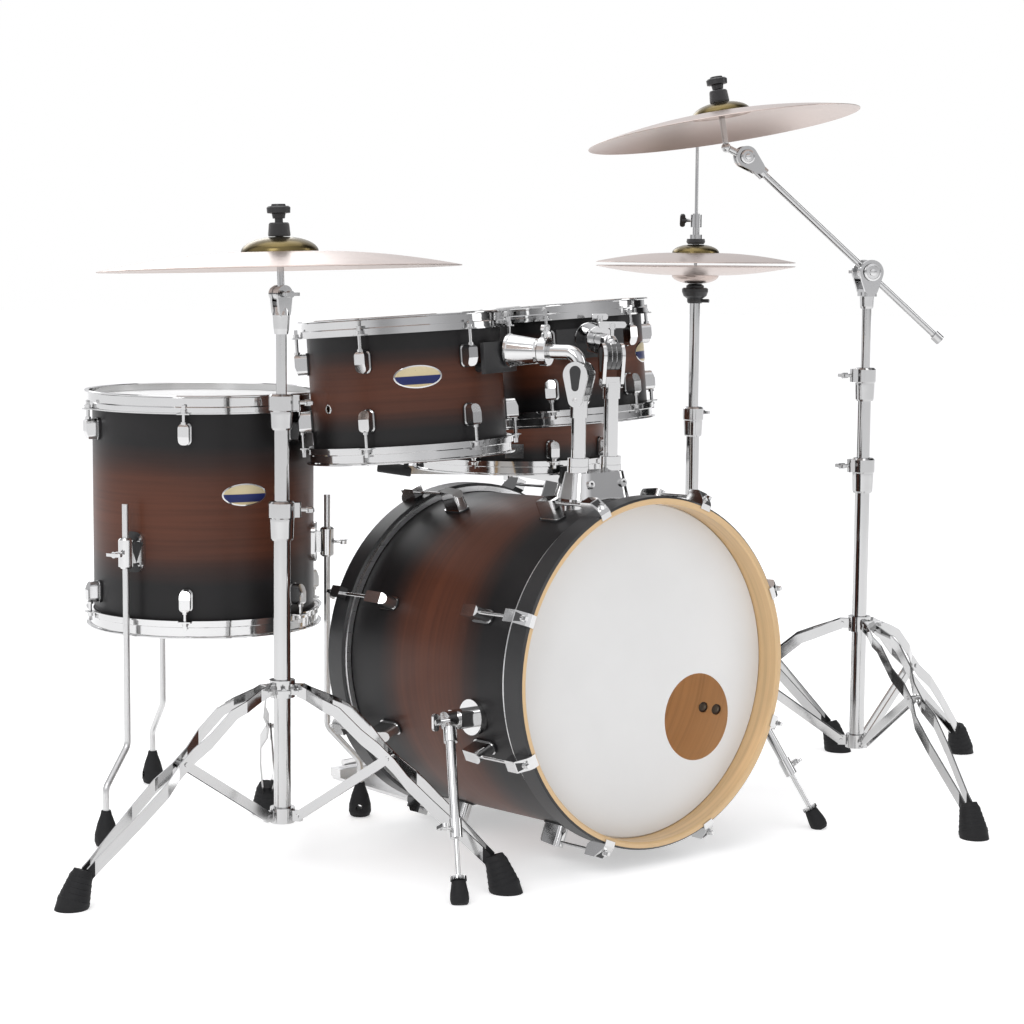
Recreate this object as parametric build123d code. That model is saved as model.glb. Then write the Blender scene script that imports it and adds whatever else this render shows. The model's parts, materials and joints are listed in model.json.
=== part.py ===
"""Five-piece acoustic drum kit with cymbals, stands and pedals.

Millimetres, +Z up. The origin lies on the floor under the middle of the kit, +X runs to the
audience's right and -Y towards the audience. Every drum is modelled about its own axis and
then set in its place on the floor.
"""
from build123d import *
from math import atan2, cos, degrees, hypot, radians, sin
import os

# ---- driving dimensions -------------------------------------------------------------------
INCH = 25.4
SHELL_WALL = 6.0
HEAD_FILM = 0.5
TENSION_ROD_R = 2.7
RUNNING_GAP = 0.4          # radial gap between pieces that move against each other

# places on the floor (x, y) of every free-standing unit
KIT_SHIFT = (-98.6, -508.0)
BASS_XY = (0.0, 0.0)
FLOOR_TOM_XY = (-363.0, 698.0)
SNARE_XY = (483.0, 943.0)
RIDE_XY = (-459.5, 328.0)
BOOM_XY = (640.0, 178.0)
HIHAT_XY = (766.5, 735.5)

# bass drum: local z points to the audience, z = 0 is the front hoop's face
BASS_R = 10 * INCH
BASS_DEPTH = 16 * INCH
BASS_HOOP_R = 268.0
BASS_HOOP_WIDTH = 42.0
BASS_OVERALL = 485.0
BASS_FRONT_Z = 295.7
BASS_DIP = 2.05            # the axis drops this many degrees towards the drummer
BASS_LUG_COUNT = 8
PORT_R = 68.0
PORT_XY = (117.5, -84.6)

# small drums: radius, depth, overall height over both hoops, centre height, lug count
TOM12 = dict(radius=6 * INCH, depth=8 * INCH, overall=223.5, lugs=6, lug_inset=40.0,
             tilter_z=741.0, arm_z=775.0, elbow=20.0)
TOM10 = dict(radius=5 * INCH, depth=7 * INCH, overall=198.0, lugs=6, lug_inset=33.0,
             tilter_z=768.0, arm_z=790.0, elbow=13.0)
FLOOR_TOM = dict(radius=7 * INCH, depth=14 * INCH, overall=380.0, lugs=6, lug_inset=31.0)
SNARE = dict(radius=7 * INCH, depth=5.5 * INCH, overall=160.0, lugs=8, lug_inset=20.0)
TOM12_CENTRE = (-168.0, 409.0, 713.5)
TOM10_CENTRE = (163.0, 406.0, 743.0)
TOM12_LEAN = (-3.9, -2.0)
TOM10_LEAN = (-4.5, -2.5)
TOM12_MOUNT_AT = -65.0     # direction of the post seen from the drum's axis
TOM10_MOUNT_AT = -114.4
TOM12_LUGS_AT = -150.0
TOM10_LUGS_AT = -142.5
FLOOR_TOM_Z = 512.0
SNARE_Z = 593.0
FLOOR_TOM_LUGS_AT = -131.0
SNARE_LUGS_AT = -105.0
SNARE_STRAINER_AT = 52.5   # the butt plate is opposite

# metal hoops
HOOP_REACH = 12.6          # rim beyond the shell
HOOP_GAUGE = 2.0
LUG_HEIGHT = 33.0
LUG_WIDTH = 17.0
LUG_REACH = 22.0
ROD_REACH = 16.5           # tension rod's distance from the shell

# tom holder
POST_R = 11.1
POST_SPREAD = 33.0
POST_Y = 150.0
POST_BOTTOM = 440.0
SADDLE_TOP = 591.0
SADDLE_FOOT_GAUGE = 7.0
TILTER_R = 20.0            # round end of the drop-shaped cheeks, about the tilter's pin
TILTER_DROP = 38.0         # from there down to their small round end
ARM_R = 11.0
CONE_LENGTH = 68.0

# floor tom legs
LEG_AT = (-159.2, -41.0, 79.0)
LEG_RADIUS = 201.0
LEG_FOOT_RADIUS = 255.0
LEG_BEND = (150.0, 92.0)   # heights between which a leg slants outwards
LEG_ROD_R = 5.2
LEG_TOP = 532.0
LEG_BRACKET_Z = 455.0

# spurs
SPUR_FOOT = (372.0, 6.0)
SPUR_JOINT_Y = 130.0
SPUR_JOINT_X = BASS_R + 44.0
SPUR_DROP = -52.0          # below the bass drum's axis

# cymbal stands
TUBE_LOW_R = 12.7
TUBE_MID_R = 11.1
TUBE_TOP_R = 7.95
TUBE_WALL = 1.2
HUB_LOW = (72.0, 95.0)
RIDE_COLLAR = (263.0, 289.0)
BOOM_COLLAR = (277.0, 303.0)
STRIP_WIDTH = 17.0
STRIP_GAUGE = 2.6
PIVOT_SHARE = 0.47         # the strut's pin lies this far out along a leg
KNEE = (0.22, 0.085)       # the leg's bend: share of its run, and drop per run
FOOT_SLOPE = 20.0
FOOT_TOP = 56.0
RIDE_LEGS = (180.5, -59.5, 60.5)
RIDE_LEG_RADIUS = 356.0
BOOM_LEGS = (-108.0, 12.0, 132.0)
BOOM_LEG_RADIUS = 381.0
RIDE_LEVELS = dict(clamp_low=(499.0, 557.0), clamp_high=(663.0, 716.0), tube_end=812.0, hinge=863.0)
BOOM_LEVELS = dict(clamp_low=(518.0, 578.0), clamp_high=(676.0, 733.0), joint=896.0)
BOOM_AZIMUTH = 153.0
BOOM_RISE = 40.8
BOOM_BACK = 172.0
BOOM_FORWARD = 271.0
BOOM_TIP = 22.0            # from the boom's end to the crash tilter's pin

# cymbals: radius, bell radius, bell height and the bow's rise from the edge to the bell
CYMBAL_GAUGE = 1.3
CYMBAL_HOLE = 7.0
RIDE = dict(radius=10.5 * INCH, bell_r=57.0, bell_h=22.0, rise=24.0)
CRASH = dict(radius=9 * INCH, bell_r=50.0, bell_h=21.0, rise=24.0)
HAT = dict(radius=7.5 * INCH, bell_r=45.0, bell_h=16.0, rise=17.0)
RIDE_CYMBAL_Z = 899.0
RIDE_LEAN = (-1.95, -0.65)
CRASH_LEAN = (-8.5, -4.5)
CRASH_NECK = (34.0, 15.0)  # from the tilter's pin to the stem: along the boom's heading, and up
CRASH_STEM = 74.0          # from there to the top of the bell

# hi-hat stand
HIHAT_LEGS = (-77.0, 43.0, 163.0)
HIHAT_LEG_RADIUS = 333.0
HIHAT_PEDAL_AT = 103.0
HIHAT_MEET_Z = 901.0
HIHAT_GAP = 6.0
HIHAT_CLAMP = (573.0, 630.0)
HIHAT_SEAT_Z = 829.0
HIHAT_ROD_TOP = 1130.0
HIHAT_HEEL = 300.0
HIHAT_PEDAL_RISE = 14.0

# snare stand
SNARE_LEGS = (-47.6, -167.6, 72.4)
SNARE_LEG_RADIUS = 270.0
SNARE_ARMS = (140.7, 20.7, -99.3)

# bass pedal
PEDAL_HEEL_Y = 778.0
PEDAL_AXLE = (518.0, 150.0)      # y and z of the beater's axle
PEDAL_BOARD_RISE = 17.0
PEDAL_BOARD_LENGTH = 236.0
BEATER_LENGTH = 158.0
BEATER_REST = 30.0               # degrees back from upright

BASE = (Align.CENTER, Align.CENTER, Align.MIN)


# ---- helpers --------------------------------------------------------------------------------
def save(name, *items):
    """Write one sub-part: every item's solids go into parts/NAME.step."""
    solids = []
    for item in items:
        for shape in item if isinstance(item, list) else [item]:
            solids.extend(shape.solids())
    for number, solid in enumerate(solids):
        solid.label = f"{name}_{number + 1}"
    export_step(Compound(label=name, children=solids), f"parts/{name}.step")


def place(xy, z=0.0, lean=(0.0, 0.0), turn=0.0):
    """Where a unit stands: its spot on the floor, a height, a lean about X and Y, a turn."""
    spot = Pos(xy[0] + KIT_SHIFT[0], xy[1] + KIT_SHIFT[1], z)
    return spot * Rot(X=lean[0]) * Rot(Y=lean[1]) * Rot(Z=turn)


def turned(points):
    """A solid of revolution about Z from an (r, z) outline."""
    return revolve(Plane.XZ * make_face(Polyline(*points, close=True)), Axis.Z)


def tube(outer, inner, bottom, top):
    ring = Cylinder(outer, top - bottom, align=BASE)
    if inner > 0:
        ring -= Cylinder(inner, top - bottom, align=BASE)
    return Pos(0, 0, bottom) * ring


def rod(start, end, radius):
    start = Vector(*start)
    run = Vector(*end) - start
    return Plane(origin=start, z_dir=run) * Cylinder(radius, run.length, align=BASE)


def around(shape, count, first=0.0):
    """Copies of a shape, evenly spaced about Z."""
    return [Rot(Z=first + 360.0 / count * k) * shape for k in range(count)]


def rounded_bar(length, width, height, radius):
    """A bar along X, centred, with its upright edges rounded."""
    return extrude(RectangleRounded(length, width, radius), height / 2, both=True)


def ribbon(points, width):
    """The outline of a flat strip that follows a line of (u, v) points."""
    left, right = [], []
    for k, (u, v) in enumerate(points):
        before = points[max(k - 1, 0)]
        after = points[min(k + 1, len(points) - 1)]
        run = hypot(after[0] - before[0], after[1] - before[1])
        du, dv = (after[0] - before[0]) / run, (after[1] - before[1]) / run
        left.append((u - dv * width / 2, v + du * width / 2))
        right.append((u + dv * width / 2, v - du * width / 2))
    return make_face(Polyline(*left, *right[::-1], close=True))


def drop_plate(large, small, drop, gauge):
    """A plate in the X-Z plane: a large round end at the origin and a small one below it."""
    ends = Circle(large).edges() + (Pos(0, -drop) * Circle(small)).edges()
    return extrude(Plane.XZ * make_hull(ends), gauge / 2, both=True)


def wing_bolt(shank, reach=14.0):
    """A wing bolt that points along +X from the origin: a shank, a hub and two wings."""
    bolt = rod((0, 0, 0), (shank, 0, 0), 3.0)
    hub = rod((shank, 0, 0), (shank + 9, 0, 0), 5.0)
    wing = Pos(shank + 7, 0, 0) * rounded_bar(10, 2 * reach, 5, 4.5)
    return bolt + hub + wing


# ---- drums with metal hoops -----------------------------------------------------------------
def drum_shell(size, vent_at=None):
    """A plain wooden tube whose inner edges are bevelled into bearing edges."""
    r, half = size["radius"], size["depth"] / 2
    inner = r - SHELL_WALL
    shell = turned([(r - 1.5, half), (r, half - 1.5), (r, 1.5 - half), (r - 1.5, -half),
                    (r - 2.5, -half), (inner, 3.5 - half), (inner, half - 3.5), (r - 2.5, half)])
    if vent_at is not None:
        hole = rod((r - 12, 0, -25), (r + 12, 0, -25), 5.0)
        shell -= Rot(Z=vent_at) * hole
    return shell


def drum_head(size):
    """The upper head: a film over the bearing edge, its collar and its flesh hoop."""
    r, half = size["radius"], size["depth"] / 2
    out = r + 0.9
    film = turned([(0, half), (r, half), (out, half - 1.0), (out, half - 12),
                   (r + 1.6, half - 14), (r + 8.0, half - 14), (r + 8.0, half - 7),
                   (out + HEAD_FILM, half - 7), (out + HEAD_FILM, half - 0.5),
                   (r, half + HEAD_FILM), (0, half + HEAD_FILM)])
    return film


def drum_hoop(size):
    """The upper pressed hoop: a flared rim, a step over the flesh hoop and an ear at each rod."""
    r, half, rim = size["radius"], size["depth"] / 2, size["overall"] / 2
    g = HOOP_GAUGE
    wall, skirt, foot = r + 5.0, r + 8.5, half - 16.5
    band = turned([(wall, rim - 1), (wall + 1, rim), (r + HOOP_REACH - 1, rim),
                   (r + HOOP_REACH, rim - 1), (r + HOOP_REACH, rim - 2.5), (wall + g + 1, rim - g - 1),
                   (wall + g, rim - g - 2), (wall + g, half - 5), (skirt + g, half - 6.5),
                   (skirt + g, foot + g), (skirt + g + 2.5, foot + g), (skirt + g + 2.5, foot),
                   (skirt, foot), (skirt, half - 6.8), (wall, half - 5.0 - g)])
    ear = Pos(r + ROD_REACH - 2, 0, foot + g / 2) * rounded_bar(19, 22, g, 4)
    ears = around(ear, size["lugs"])
    holes = around(Pos(r + ROD_REACH, 0, foot) * Cylinder(3.2, 20), size["lugs"])
    core = Cylinder(skirt + g / 2, 4 * rim)
    for tab in ears:
        band += tab - core
    for hole in holes:
        band -= hole
    return band


def drum_lug(size):
    """The upper lug: a foot plate on the shell, a faceted body and the nut's sleeve."""
    r, half = size["radius"], size["depth"] / 2
    top = half - size["lug_inset"]
    middle = top - LUG_HEIGHT / 2
    front = Plane.YZ * Pos(0, middle)
    plate = extrude(front * RectangleRounded(LUG_WIDTH + 2.6, LUG_HEIGHT + 2.6, 8), r + 3)
    side = Polyline((r + 2, top), (r + LUG_REACH - 3, top), (r + LUG_REACH, top - 4),
                    (r + LUG_REACH, top - 20), (r + LUG_REACH - 5, top - LUG_HEIGHT),
                    (r + 2, top - LUG_HEIGHT), close=True)
    body = extrude(Plane.XZ * make_face(side), LUG_WIDTH / 2, both=True)
    body = body & extrude(front * RectangleRounded(LUG_WIDTH, LUG_HEIGHT, 7), 2 * r)
    sleeve = Pos(r + ROD_REACH, 0, top - 1) * Cylinder(4.6, 4, align=BASE)
    return plate + body + sleeve - Cylinder(r + 0.05, 4 * half)


def drum_rod(size):
    """The upper tension rod: it stands on the lug's sleeve and its square head clamps the ear."""
    r, half = size["radius"], size["depth"] / 2
    at = r + ROD_REACH
    foot = half - size["lug_inset"] + 3
    ear = half - 16.5 + HOOP_GAUGE
    shaft = Pos(at, 0, foot) * Cylinder(TENSION_ROD_R, ear - foot, align=BASE)
    washer = Pos(at, 0, ear) * Cylinder(5.5, 1.5, align=BASE)
    head = Pos(at, 0, ear + 1.5) * Cylinder(4.4, 4, align=BASE)
    square = Pos(at, 0, ear + 5.5) * Box(5.5, 5.5, 7, align=BASE)
    return shaft + washer + head + square


def both_ends(shape):
    """A shape at a drum's upper end and its copy at the lower end."""
    return [shape, Rot(X=180) * shape]


def build_drum(name, size, location, first_lug, vent_at=None):
    """Shell, heads, hoops and lugs of one drum, written out in its place."""
    save(f"{name}_shell", location * drum_shell(size, vent_at))
    save(f"{name}_heads", [location * head for head in both_ends(drum_head(size))])
    turn = Rot(Z=first_lug)
    back = Rot(Z=-first_lug)
    hoop, lug, bolt = drum_hoop(size), drum_lug(size), drum_rod(size)
    save(f"{name}_hoops", location * turn * hoop, location * Rot(X=180) * back * hoop)
    upper = around(lug, size["lugs"], first_lug) + around(bolt, size["lugs"], first_lug)
    lower = around(lug, size["lugs"], -first_lug) + around(bolt, size["lugs"], -first_lug)
    save(f"{name}_lugs", [location * s for s in upper], [location * Rot(X=180) * s for s in lower])


# ---- bass drum --------------------------------------------------------------------------------
BASS = place(BASS_XY, BASS_FRONT_Z) * Rot(X=90 - BASS_DIP)
EDGE = (BASS_OVERALL - BASS_DEPTH) / 2       # hoop face to bearing edge
BASS_LUG_Z = EDGE + 62.0                     # hoop face to the lug's near end
CLAW_ROD_R = 281.0


def bass_mirrored(shapes):
    """Shapes at the front end and their mirror images at the drummer's end."""
    middle = Plane.XY.offset(-BASS_OVERALL / 2)
    return shapes + [mirror(shape, about=middle) for shape in shapes]


def bass_shell():
    inner = BASS_R - 7.0
    front, back = -EDGE, EDGE - BASS_OVERALL
    shell = turned([(BASS_R - 1.5, front), (BASS_R, front - 1.5), (BASS_R, back + 1.5),
                    (BASS_R - 1.5, back), (BASS_R - 2.5, back), (inner, back + 4.5),
                    (inner, front - 4.5), (BASS_R - 2.5, front)])
    return shell


def bass_head(port):
    z, r = -EDGE, BASS_R
    out = r + 0.7
    back = -BASS_HOOP_WIDTH
    head = turned([(0, z), (r, z), (out, z - 1), (out, back - 3), (r + 1.4, back - 5),
                   (r + 9.5, back - 5), (r + 9.5, back), (out + HEAD_FILM, back),
                   (out + HEAD_FILM, z - 0.5), (r, z + HEAD_FILM), (0, z + HEAD_FILM)])
    if port:
        head -= Pos(PORT_XY[0], PORT_XY[1], z) * Cylinder(PORT_R, 10)
    return head


def bass_hoop():
    inner = BASS_R + 2.2
    return turned([(inner, -BASS_HOOP_WIDTH), (inner, -3), (inner + 3, 0), (BASS_HOOP_R - 3, 0),
                   (BASS_HOOP_R, -3), (BASS_HOOP_R, 3 - BASS_HOOP_WIDTH),
                   (BASS_HOOP_R - 3, -BASS_HOOP_WIDTH)])


def bass_claw():
    """A claw on the +X side: a lip over the hoop's face, a back and a boss round the rod."""
    side = Polyline((261, 0), (261, 2.6), (270, 3), (276, 0), (290, -14), (290, -36),
                    (274, -36), (BASS_HOOP_R, -30), (BASS_HOOP_R, 0), close=True)
    body = extrude(Plane.XZ * make_face(side), 9.5, both=True)
    return body - Pos(CLAW_ROD_R, 0, -40) * Cylinder(TENSION_ROD_R + 0.3, 60, align=BASE)


def bass_rod():
    """A claw's tension rod: its drum-key head stands in front of the claw."""
    shaft = rod((CLAW_ROD_R, 0, -4), (CLAW_ROD_R, 0, -BASS_LUG_Z), TENSION_ROD_R)
    collar = Pos(CLAW_ROD_R, 0, -4.4) * Cylinder(4.4, 3.4, align=BASE)
    square = Pos(CLAW_ROD_R, 0, -1) * Box(5.5, 5.5, 7, align=BASE)
    return shaft + collar + square


def bass_lug():
    """A bass lug: foot plate, faceted body and sleeve that takes the claw's rod."""
    near = -BASS_LUG_Z
    far = near - 46
    front = Plane.YZ * Pos(0, (near + far) / 2)
    plate = extrude(front * RectangleRounded(22, 49, 10), BASS_R + 3)
    side = Polyline((BASS_R + 2, near), (287, near), (289, near - 4), (286, far + 8),
                    (278, far), (BASS_R + 2, far), close=True)
    body = extrude(Plane.XZ * make_face(side), 9, both=True)
    body = body & extrude(front * RectangleRounded(18, 46, 8), 2 * BASS_R)
    return plate + body - Pos(0, 0, -200) * Cylinder(BASS_R + 0.05, 400)


def spur_bracket(side):
    """A round plate on the shell with the block that the spur turns in."""
    z = -SPUR_JOINT_Y
    plate = rod((BASS_R - 6, SPUR_DROP, z), (BASS_R + 5, SPUR_DROP, z), 27)
    block = Pos(BASS_R + 18, SPUR_DROP, z) * Box(32, 26, 34)
    block = fillet(block.edges().filter_by(Axis.X), 5)
    bracket = plate + block - Pos(0, 0, -200) * Cylinder(BASS_R + 0.05, 400)
    return bracket if side > 0 else mirror(bracket, about=Plane.YZ)


def spur(side):
    """A spur leg: collar on the bracket, outer tube, clamp, thin rod, lock nut, rubber tip."""
    joint = Vector(SPUR_JOINT_X, SPUR_DROP, -SPUR_JOINT_Y)
    ground = BASS.inverse() * Pos(SPUR_FOOT[0] + KIT_SHIFT[0], SPUR_FOOT[1] + KIT_SHIFT[1], 0)
    foot = ground.position
    unit = (foot - joint).normalized()

    def stretch(start, end, radius):
        return rod(tuple(start), tuple(end), radius)

    pivot = stretch(joint - Vector(9.7, 0, 0), joint + Vector(9, 0, 0), 14)
    leg = pivot + stretch(joint, joint + unit * 160, 7.3)
    leg += stretch(joint + unit * 12, joint + unit * 34, 10)
    leg += stretch(joint + unit * 152, joint + unit * 180, 9.5)
    leg += stretch(joint + unit * 170, foot - unit * 30, 3.6)
    leg += stretch(foot - unit * 41, foot - unit * 35, 12.0)
    tip = turned([(0, 35), (9.5, 35), (10.5, 33), (13.5, 16), (14, 9), (13, 3), (10, -1), (0, -2)])
    leg += Plane(origin=foot, z_dir=-unit) * tip
    across = Plane(origin=joint + unit * 166, x_dir=(1, 0, 0), z_dir=unit)
    leg += across * wing_bolt(16, 12)
    leg += Pos(*(joint + Vector(5, 0, 0))) * wing_bolt(14, 13)
    return leg if side > 0 else mirror(leg, about=Plane.YZ)


def above_floor(shape):
    """Trim a shape that has been set in its place flat at the floor."""
    return shape - Pos(0, 0, -200) * Box(4000, 4000, 400)


def build_bass():
    shell = BASS * bass_shell()
    for side in (-1, 1):
        shell -= place((side * POST_SPREAD, POST_Y), 400) * Cylinder(POST_R + 2.5, 300, align=BASE)
    save("bass_shell", shell)
    rear = mirror(bass_head(False), about=Plane.XY.offset(-BASS_OVERALL / 2))
    save("bass_heads", BASS * bass_head(True), BASS * rear)
    save("bass_hoops", [BASS * s for s in bass_mirrored([bass_hoop()])])
    first = 180.0 / BASS_LUG_COUNT
    claws = around(bass_claw(), BASS_LUG_COUNT, first) + around(bass_rod(), BASS_LUG_COUNT, first)
    save("bass_claws", [BASS * s for s in bass_mirrored(claws)])
    lugs = around(bass_lug(), BASS_LUG_COUNT, first)
    save("bass_lugs", [BASS * s for s in bass_mirrored(lugs)])
    save("bass_spur_brackets", BASS * spur_bracket(1), BASS * spur_bracket(-1))
    save("bass_spur_right", above_floor(BASS * spur(1)))
    save("bass_spur_left", above_floor(BASS * spur(-1)))


# ---- tom holder -------------------------------------------------------------------------------
def build_saddle():
    """A tapered block that holds the tom posts, on a curved foot on top of the bass drum."""
    where = place((0, POST_Y))
    low = Plane.XY.offset(SADDLE_TOP - 40) * RectangleRounded(114, 64, 24)
    high = Plane.XY.offset(SADDLE_TOP) * RectangleRounded(98, 50, 20)
    block = loft([low, high]) + Pos(0, 0, 500) * rounded_bar(114, 64, 2 * (SADDLE_TOP - 540), 24)
    foot = Pos(0, 0, 540) * rounded_bar(140, 92, 100, 34)
    over_shell = BASS * Pos(0, 0, -240) * Cylinder(BASS_R + SADDLE_FOOT_GAUGE, 500)
    collars = [Pos(side * POST_SPREAD, 0, SADDLE_TOP) * Cylinder(17, 9, align=BASE) for side in (-1, 1)]
    saddle = where * (block + collars[0] + collars[1]) + (where * foot & over_shell)
    saddle -= BASS * Pos(0, 0, -240) * Cylinder(BASS_R + 0.05, 500)
    for side in (-1, 1):
        bore = Pos(side * POST_SPREAD, 0, 400) * Cylinder(POST_R + RUNNING_GAP, 400, align=BASE)
        saddle -= where * bore
        screw = rod((side * POST_SPREAD, -24, 574), (side * POST_SPREAD, -32, 574), 6.5)
        socket = rod((side * POST_SPREAD, -29, 574), (side * POST_SPREAD, -34, 574), 3.6)
        saddle += where * (screw - socket)
    save("tom_mount_saddle", saddle)


def tom_cone():
    """The receiver about Z: a cone that narrows away from the drum, a collar, a wing bolt."""
    bore = ARM_R + RUNNING_GAP
    end = CONE_LENGTH
    cone = turned([(bore, 0), (bore, end), (21.5, end), (22.5, end - 1.5), (22.5, end - 13),
                   (21.5, end - 14.5), (18, end - 15), (18, end - 18), (19.5, end - 21), (25, 6),
                   (26, 4), (26, 0)])
    bolt = Pos(0, 0, end - 7) * Rot(Z=180) * Pos(20, 0, 0) * wing_bolt(9, 13)
    return cone + bolt


def build_tom_holder(name, side, drum, centre, lean, mount_at):
    """Post, tilter arm and shell mount of one rack tom."""
    post_xy = (side * POST_SPREAD, POST_Y)
    where = place(post_xy)
    heading = degrees(atan2(centre[1] - post_xy[1], centre[0] - post_xy[0]))
    aim = Rot(Z=heading)
    pin_z, arm_z = drum["tilter_z"], drum["arm_z"]
    post = tube(POST_R, POST_R - 2, POST_BOTTOM, pin_z - TILTER_DROP)
    stop = tube(16.5, POST_R - 0.5, SADDLE_TOP + 9.4, SADDLE_TOP + 22)
    socket = Pos(0, 0, pin_z - 66) * Cylinder(13.5, 26, align=BASE)
    cheek = drop_plate(TILTER_R, 11.5, TILTER_DROP, 5.2)
    cheeks = [Pos(0, y, pin_z) * cheek for y in (-14.6, 14.6)]
    bridge = Pos(0, 0, pin_z - TILTER_DROP - 2) * rounded_bar(22, 26, 16, 4)
    save(f"{name}_post", where * aim * (post + stop + socket + cheeks[0] + cheeks[1] + bridge))

    distance = hypot(centre[0] - post_xy[0], centre[1] - post_xy[1])
    reach = distance - drum["radius"] - 30
    gear = rod((0, -11.4, pin_z), (0, 11.4, pin_z), TILTER_R - 1)
    path = FilletPolyline((0, 0, pin_z), (0, 0, arm_z), (reach, 0, arm_z), radius=drum["elbow"])
    section = Plane(origin=(0, 0, pin_z), z_dir=(0, 0, 1)) * Circle(ARM_R)
    arm = gear + sweep(section, path=path)
    if side > 0:
        handle = Pos(0, 0, arm_z + ARM_R - 2) * Rot(Y=-90) * wing_bolt(10, 22)
        arm += handle
    save(f"{name}_arm", where * aim * arm)

    spot = place(centre[:2], centre[2], lean) * Rot(Z=mount_at)
    local = spot.inverse() * place(post_xy, arm_z)
    mount_z = local.position.Z
    r = drum["radius"]
    frame_arc = 56.0
    frame = tube(r + 24, r + 18, -24, 24)
    wedge = Pos(r, 0, 0) * Box(80, 2 * frame_arc, 60)
    frame = Pos(0, 0, mount_z) * (frame & wedge)
    stands = []
    for angle in (-15, 15):
        peg = rod((r - 3, 0, mount_z - 14), (r + 19, 0, mount_z - 14), 7)
        stands.append(Rot(Z=angle) * (peg - Cylinder(r + 0.05, 400)))
    mount = spot * (frame + stands[0] + stands[1])
    axis_start = place(centre[:2], arm_z) * Rot(Z=heading + 180)
    cone = axis_start * Pos(r + 22, 0, 0) * Rot(Y=90) * tom_cone()
    clear = axis_start * Rot(Y=90) * Cylinder(ARM_R + RUNNING_GAP, 2000)
    save(f"{name}_mount", (mount - clear) + cone)


# ---- floor tom ----------------------------------------------------------------------------------
def leg_bracket():
    """A shield on the shell with the round boss that grips a leg rod, and its wing bolt."""
    r = FLOOR_TOM["radius"]
    z = LEG_BRACKET_Z - FLOOR_TOM_Z
    shield = extrude(Plane.YZ * Pos(0, z) * RectangleRounded(40, 64, 16), r + 5)
    arm = Pos(r + 14, 0, z) * Box(28, 13, 34)
    boss = Pos(LEG_RADIUS, 0, z) * chamfer(Cylinder(11.5, 48).edges(), 3)
    bolt = Pos(LEG_RADIUS + 9, 0, z) * wing_bolt(12, 14)
    bore = Pos(LEG_RADIUS, 0, z) * Cylinder(LEG_ROD_R + RUNNING_GAP, 200)
    bracket = shield - Cylinder(r + 0.05, 800) + (arm - Cylinder(r + 0.05, 800)) + boss + bolt
    return bracket - bore


def floor_tom_leg():
    """A bent leg rod in the X-Z plane of its own angle, with its drop-shaped rubber foot."""
    high, low = LEG_BEND
    path = FilletPolyline((LEG_RADIUS, 0, LEG_TOP), (LEG_RADIUS, 0, high),
                          (LEG_FOOT_RADIUS, 0, low), (LEG_FOOT_RADIUS, 0, 40), radius=20)
    section = Plane(origin=(LEG_RADIUS, 0, LEG_TOP), z_dir=(0, 0, -1)) * Circle(LEG_ROD_R)
    bar = sweep(section, path=path)
    foot = turned([(0, 0), (12, 0), (16, 2), (18.5, 9), (18, 20), (14, 36), (9, 50), (7.5, 57),
                   (0, 57)])
    slot = rod((0, -40, 17), (0, 40, 17), 5.5)
    return bar + Pos(LEG_FOOT_RADIUS, 0, 0) * (foot - slot)


def build_floor_tom():
    where = place(FLOOR_TOM_XY, FLOOR_TOM_Z)
    build_drum("floor_tom", FLOOR_TOM, where, FLOOR_TOM_LUGS_AT)
    save("floor_tom_leg_brackets", [where * Rot(Z=a) * leg_bracket() for a in LEG_AT])
    floor = place(FLOOR_TOM_XY)
    for number, angle in enumerate(LEG_AT):
        save(f"floor_tom_leg_{number + 1}", floor * Rot(Z=angle) * floor_tom_leg())


# ---- tripod stands ------------------------------------------------------------------------------
def rubber_foot(radius):
    """A wide rubber foot on the end of a leg, leaning in along it."""
    cone = turned([(0, -16), (22.5, -16), (22.5, 6), (14, FOOT_TOP - 6), (12.5, FOOT_TOP), (0, FOOT_TOP)])
    return Pos(radius, 0, 0) * Rot(Y=-FOOT_SLOPE) * cone


def leg_strip(start, end, side, leg_face, bow):
    """One of a leg's two strips: it bows out twice and meets its twin at hub, pin and foot."""
    run = end - start
    shares = ((0, 9.0), (0.05, 9.0), (0.15, bow), (0.35, bow), (0.43, 9.4), (0.51, 9.4),
              (0.59, bow), (0.72, bow - 2), (0.96, 7.0), (1, 7.0))
    line = [(start + share * run, side * y) for share, y in shares]
    return extrude(ribbon(line, STRIP_GAUGE), 500) & leg_face


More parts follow.
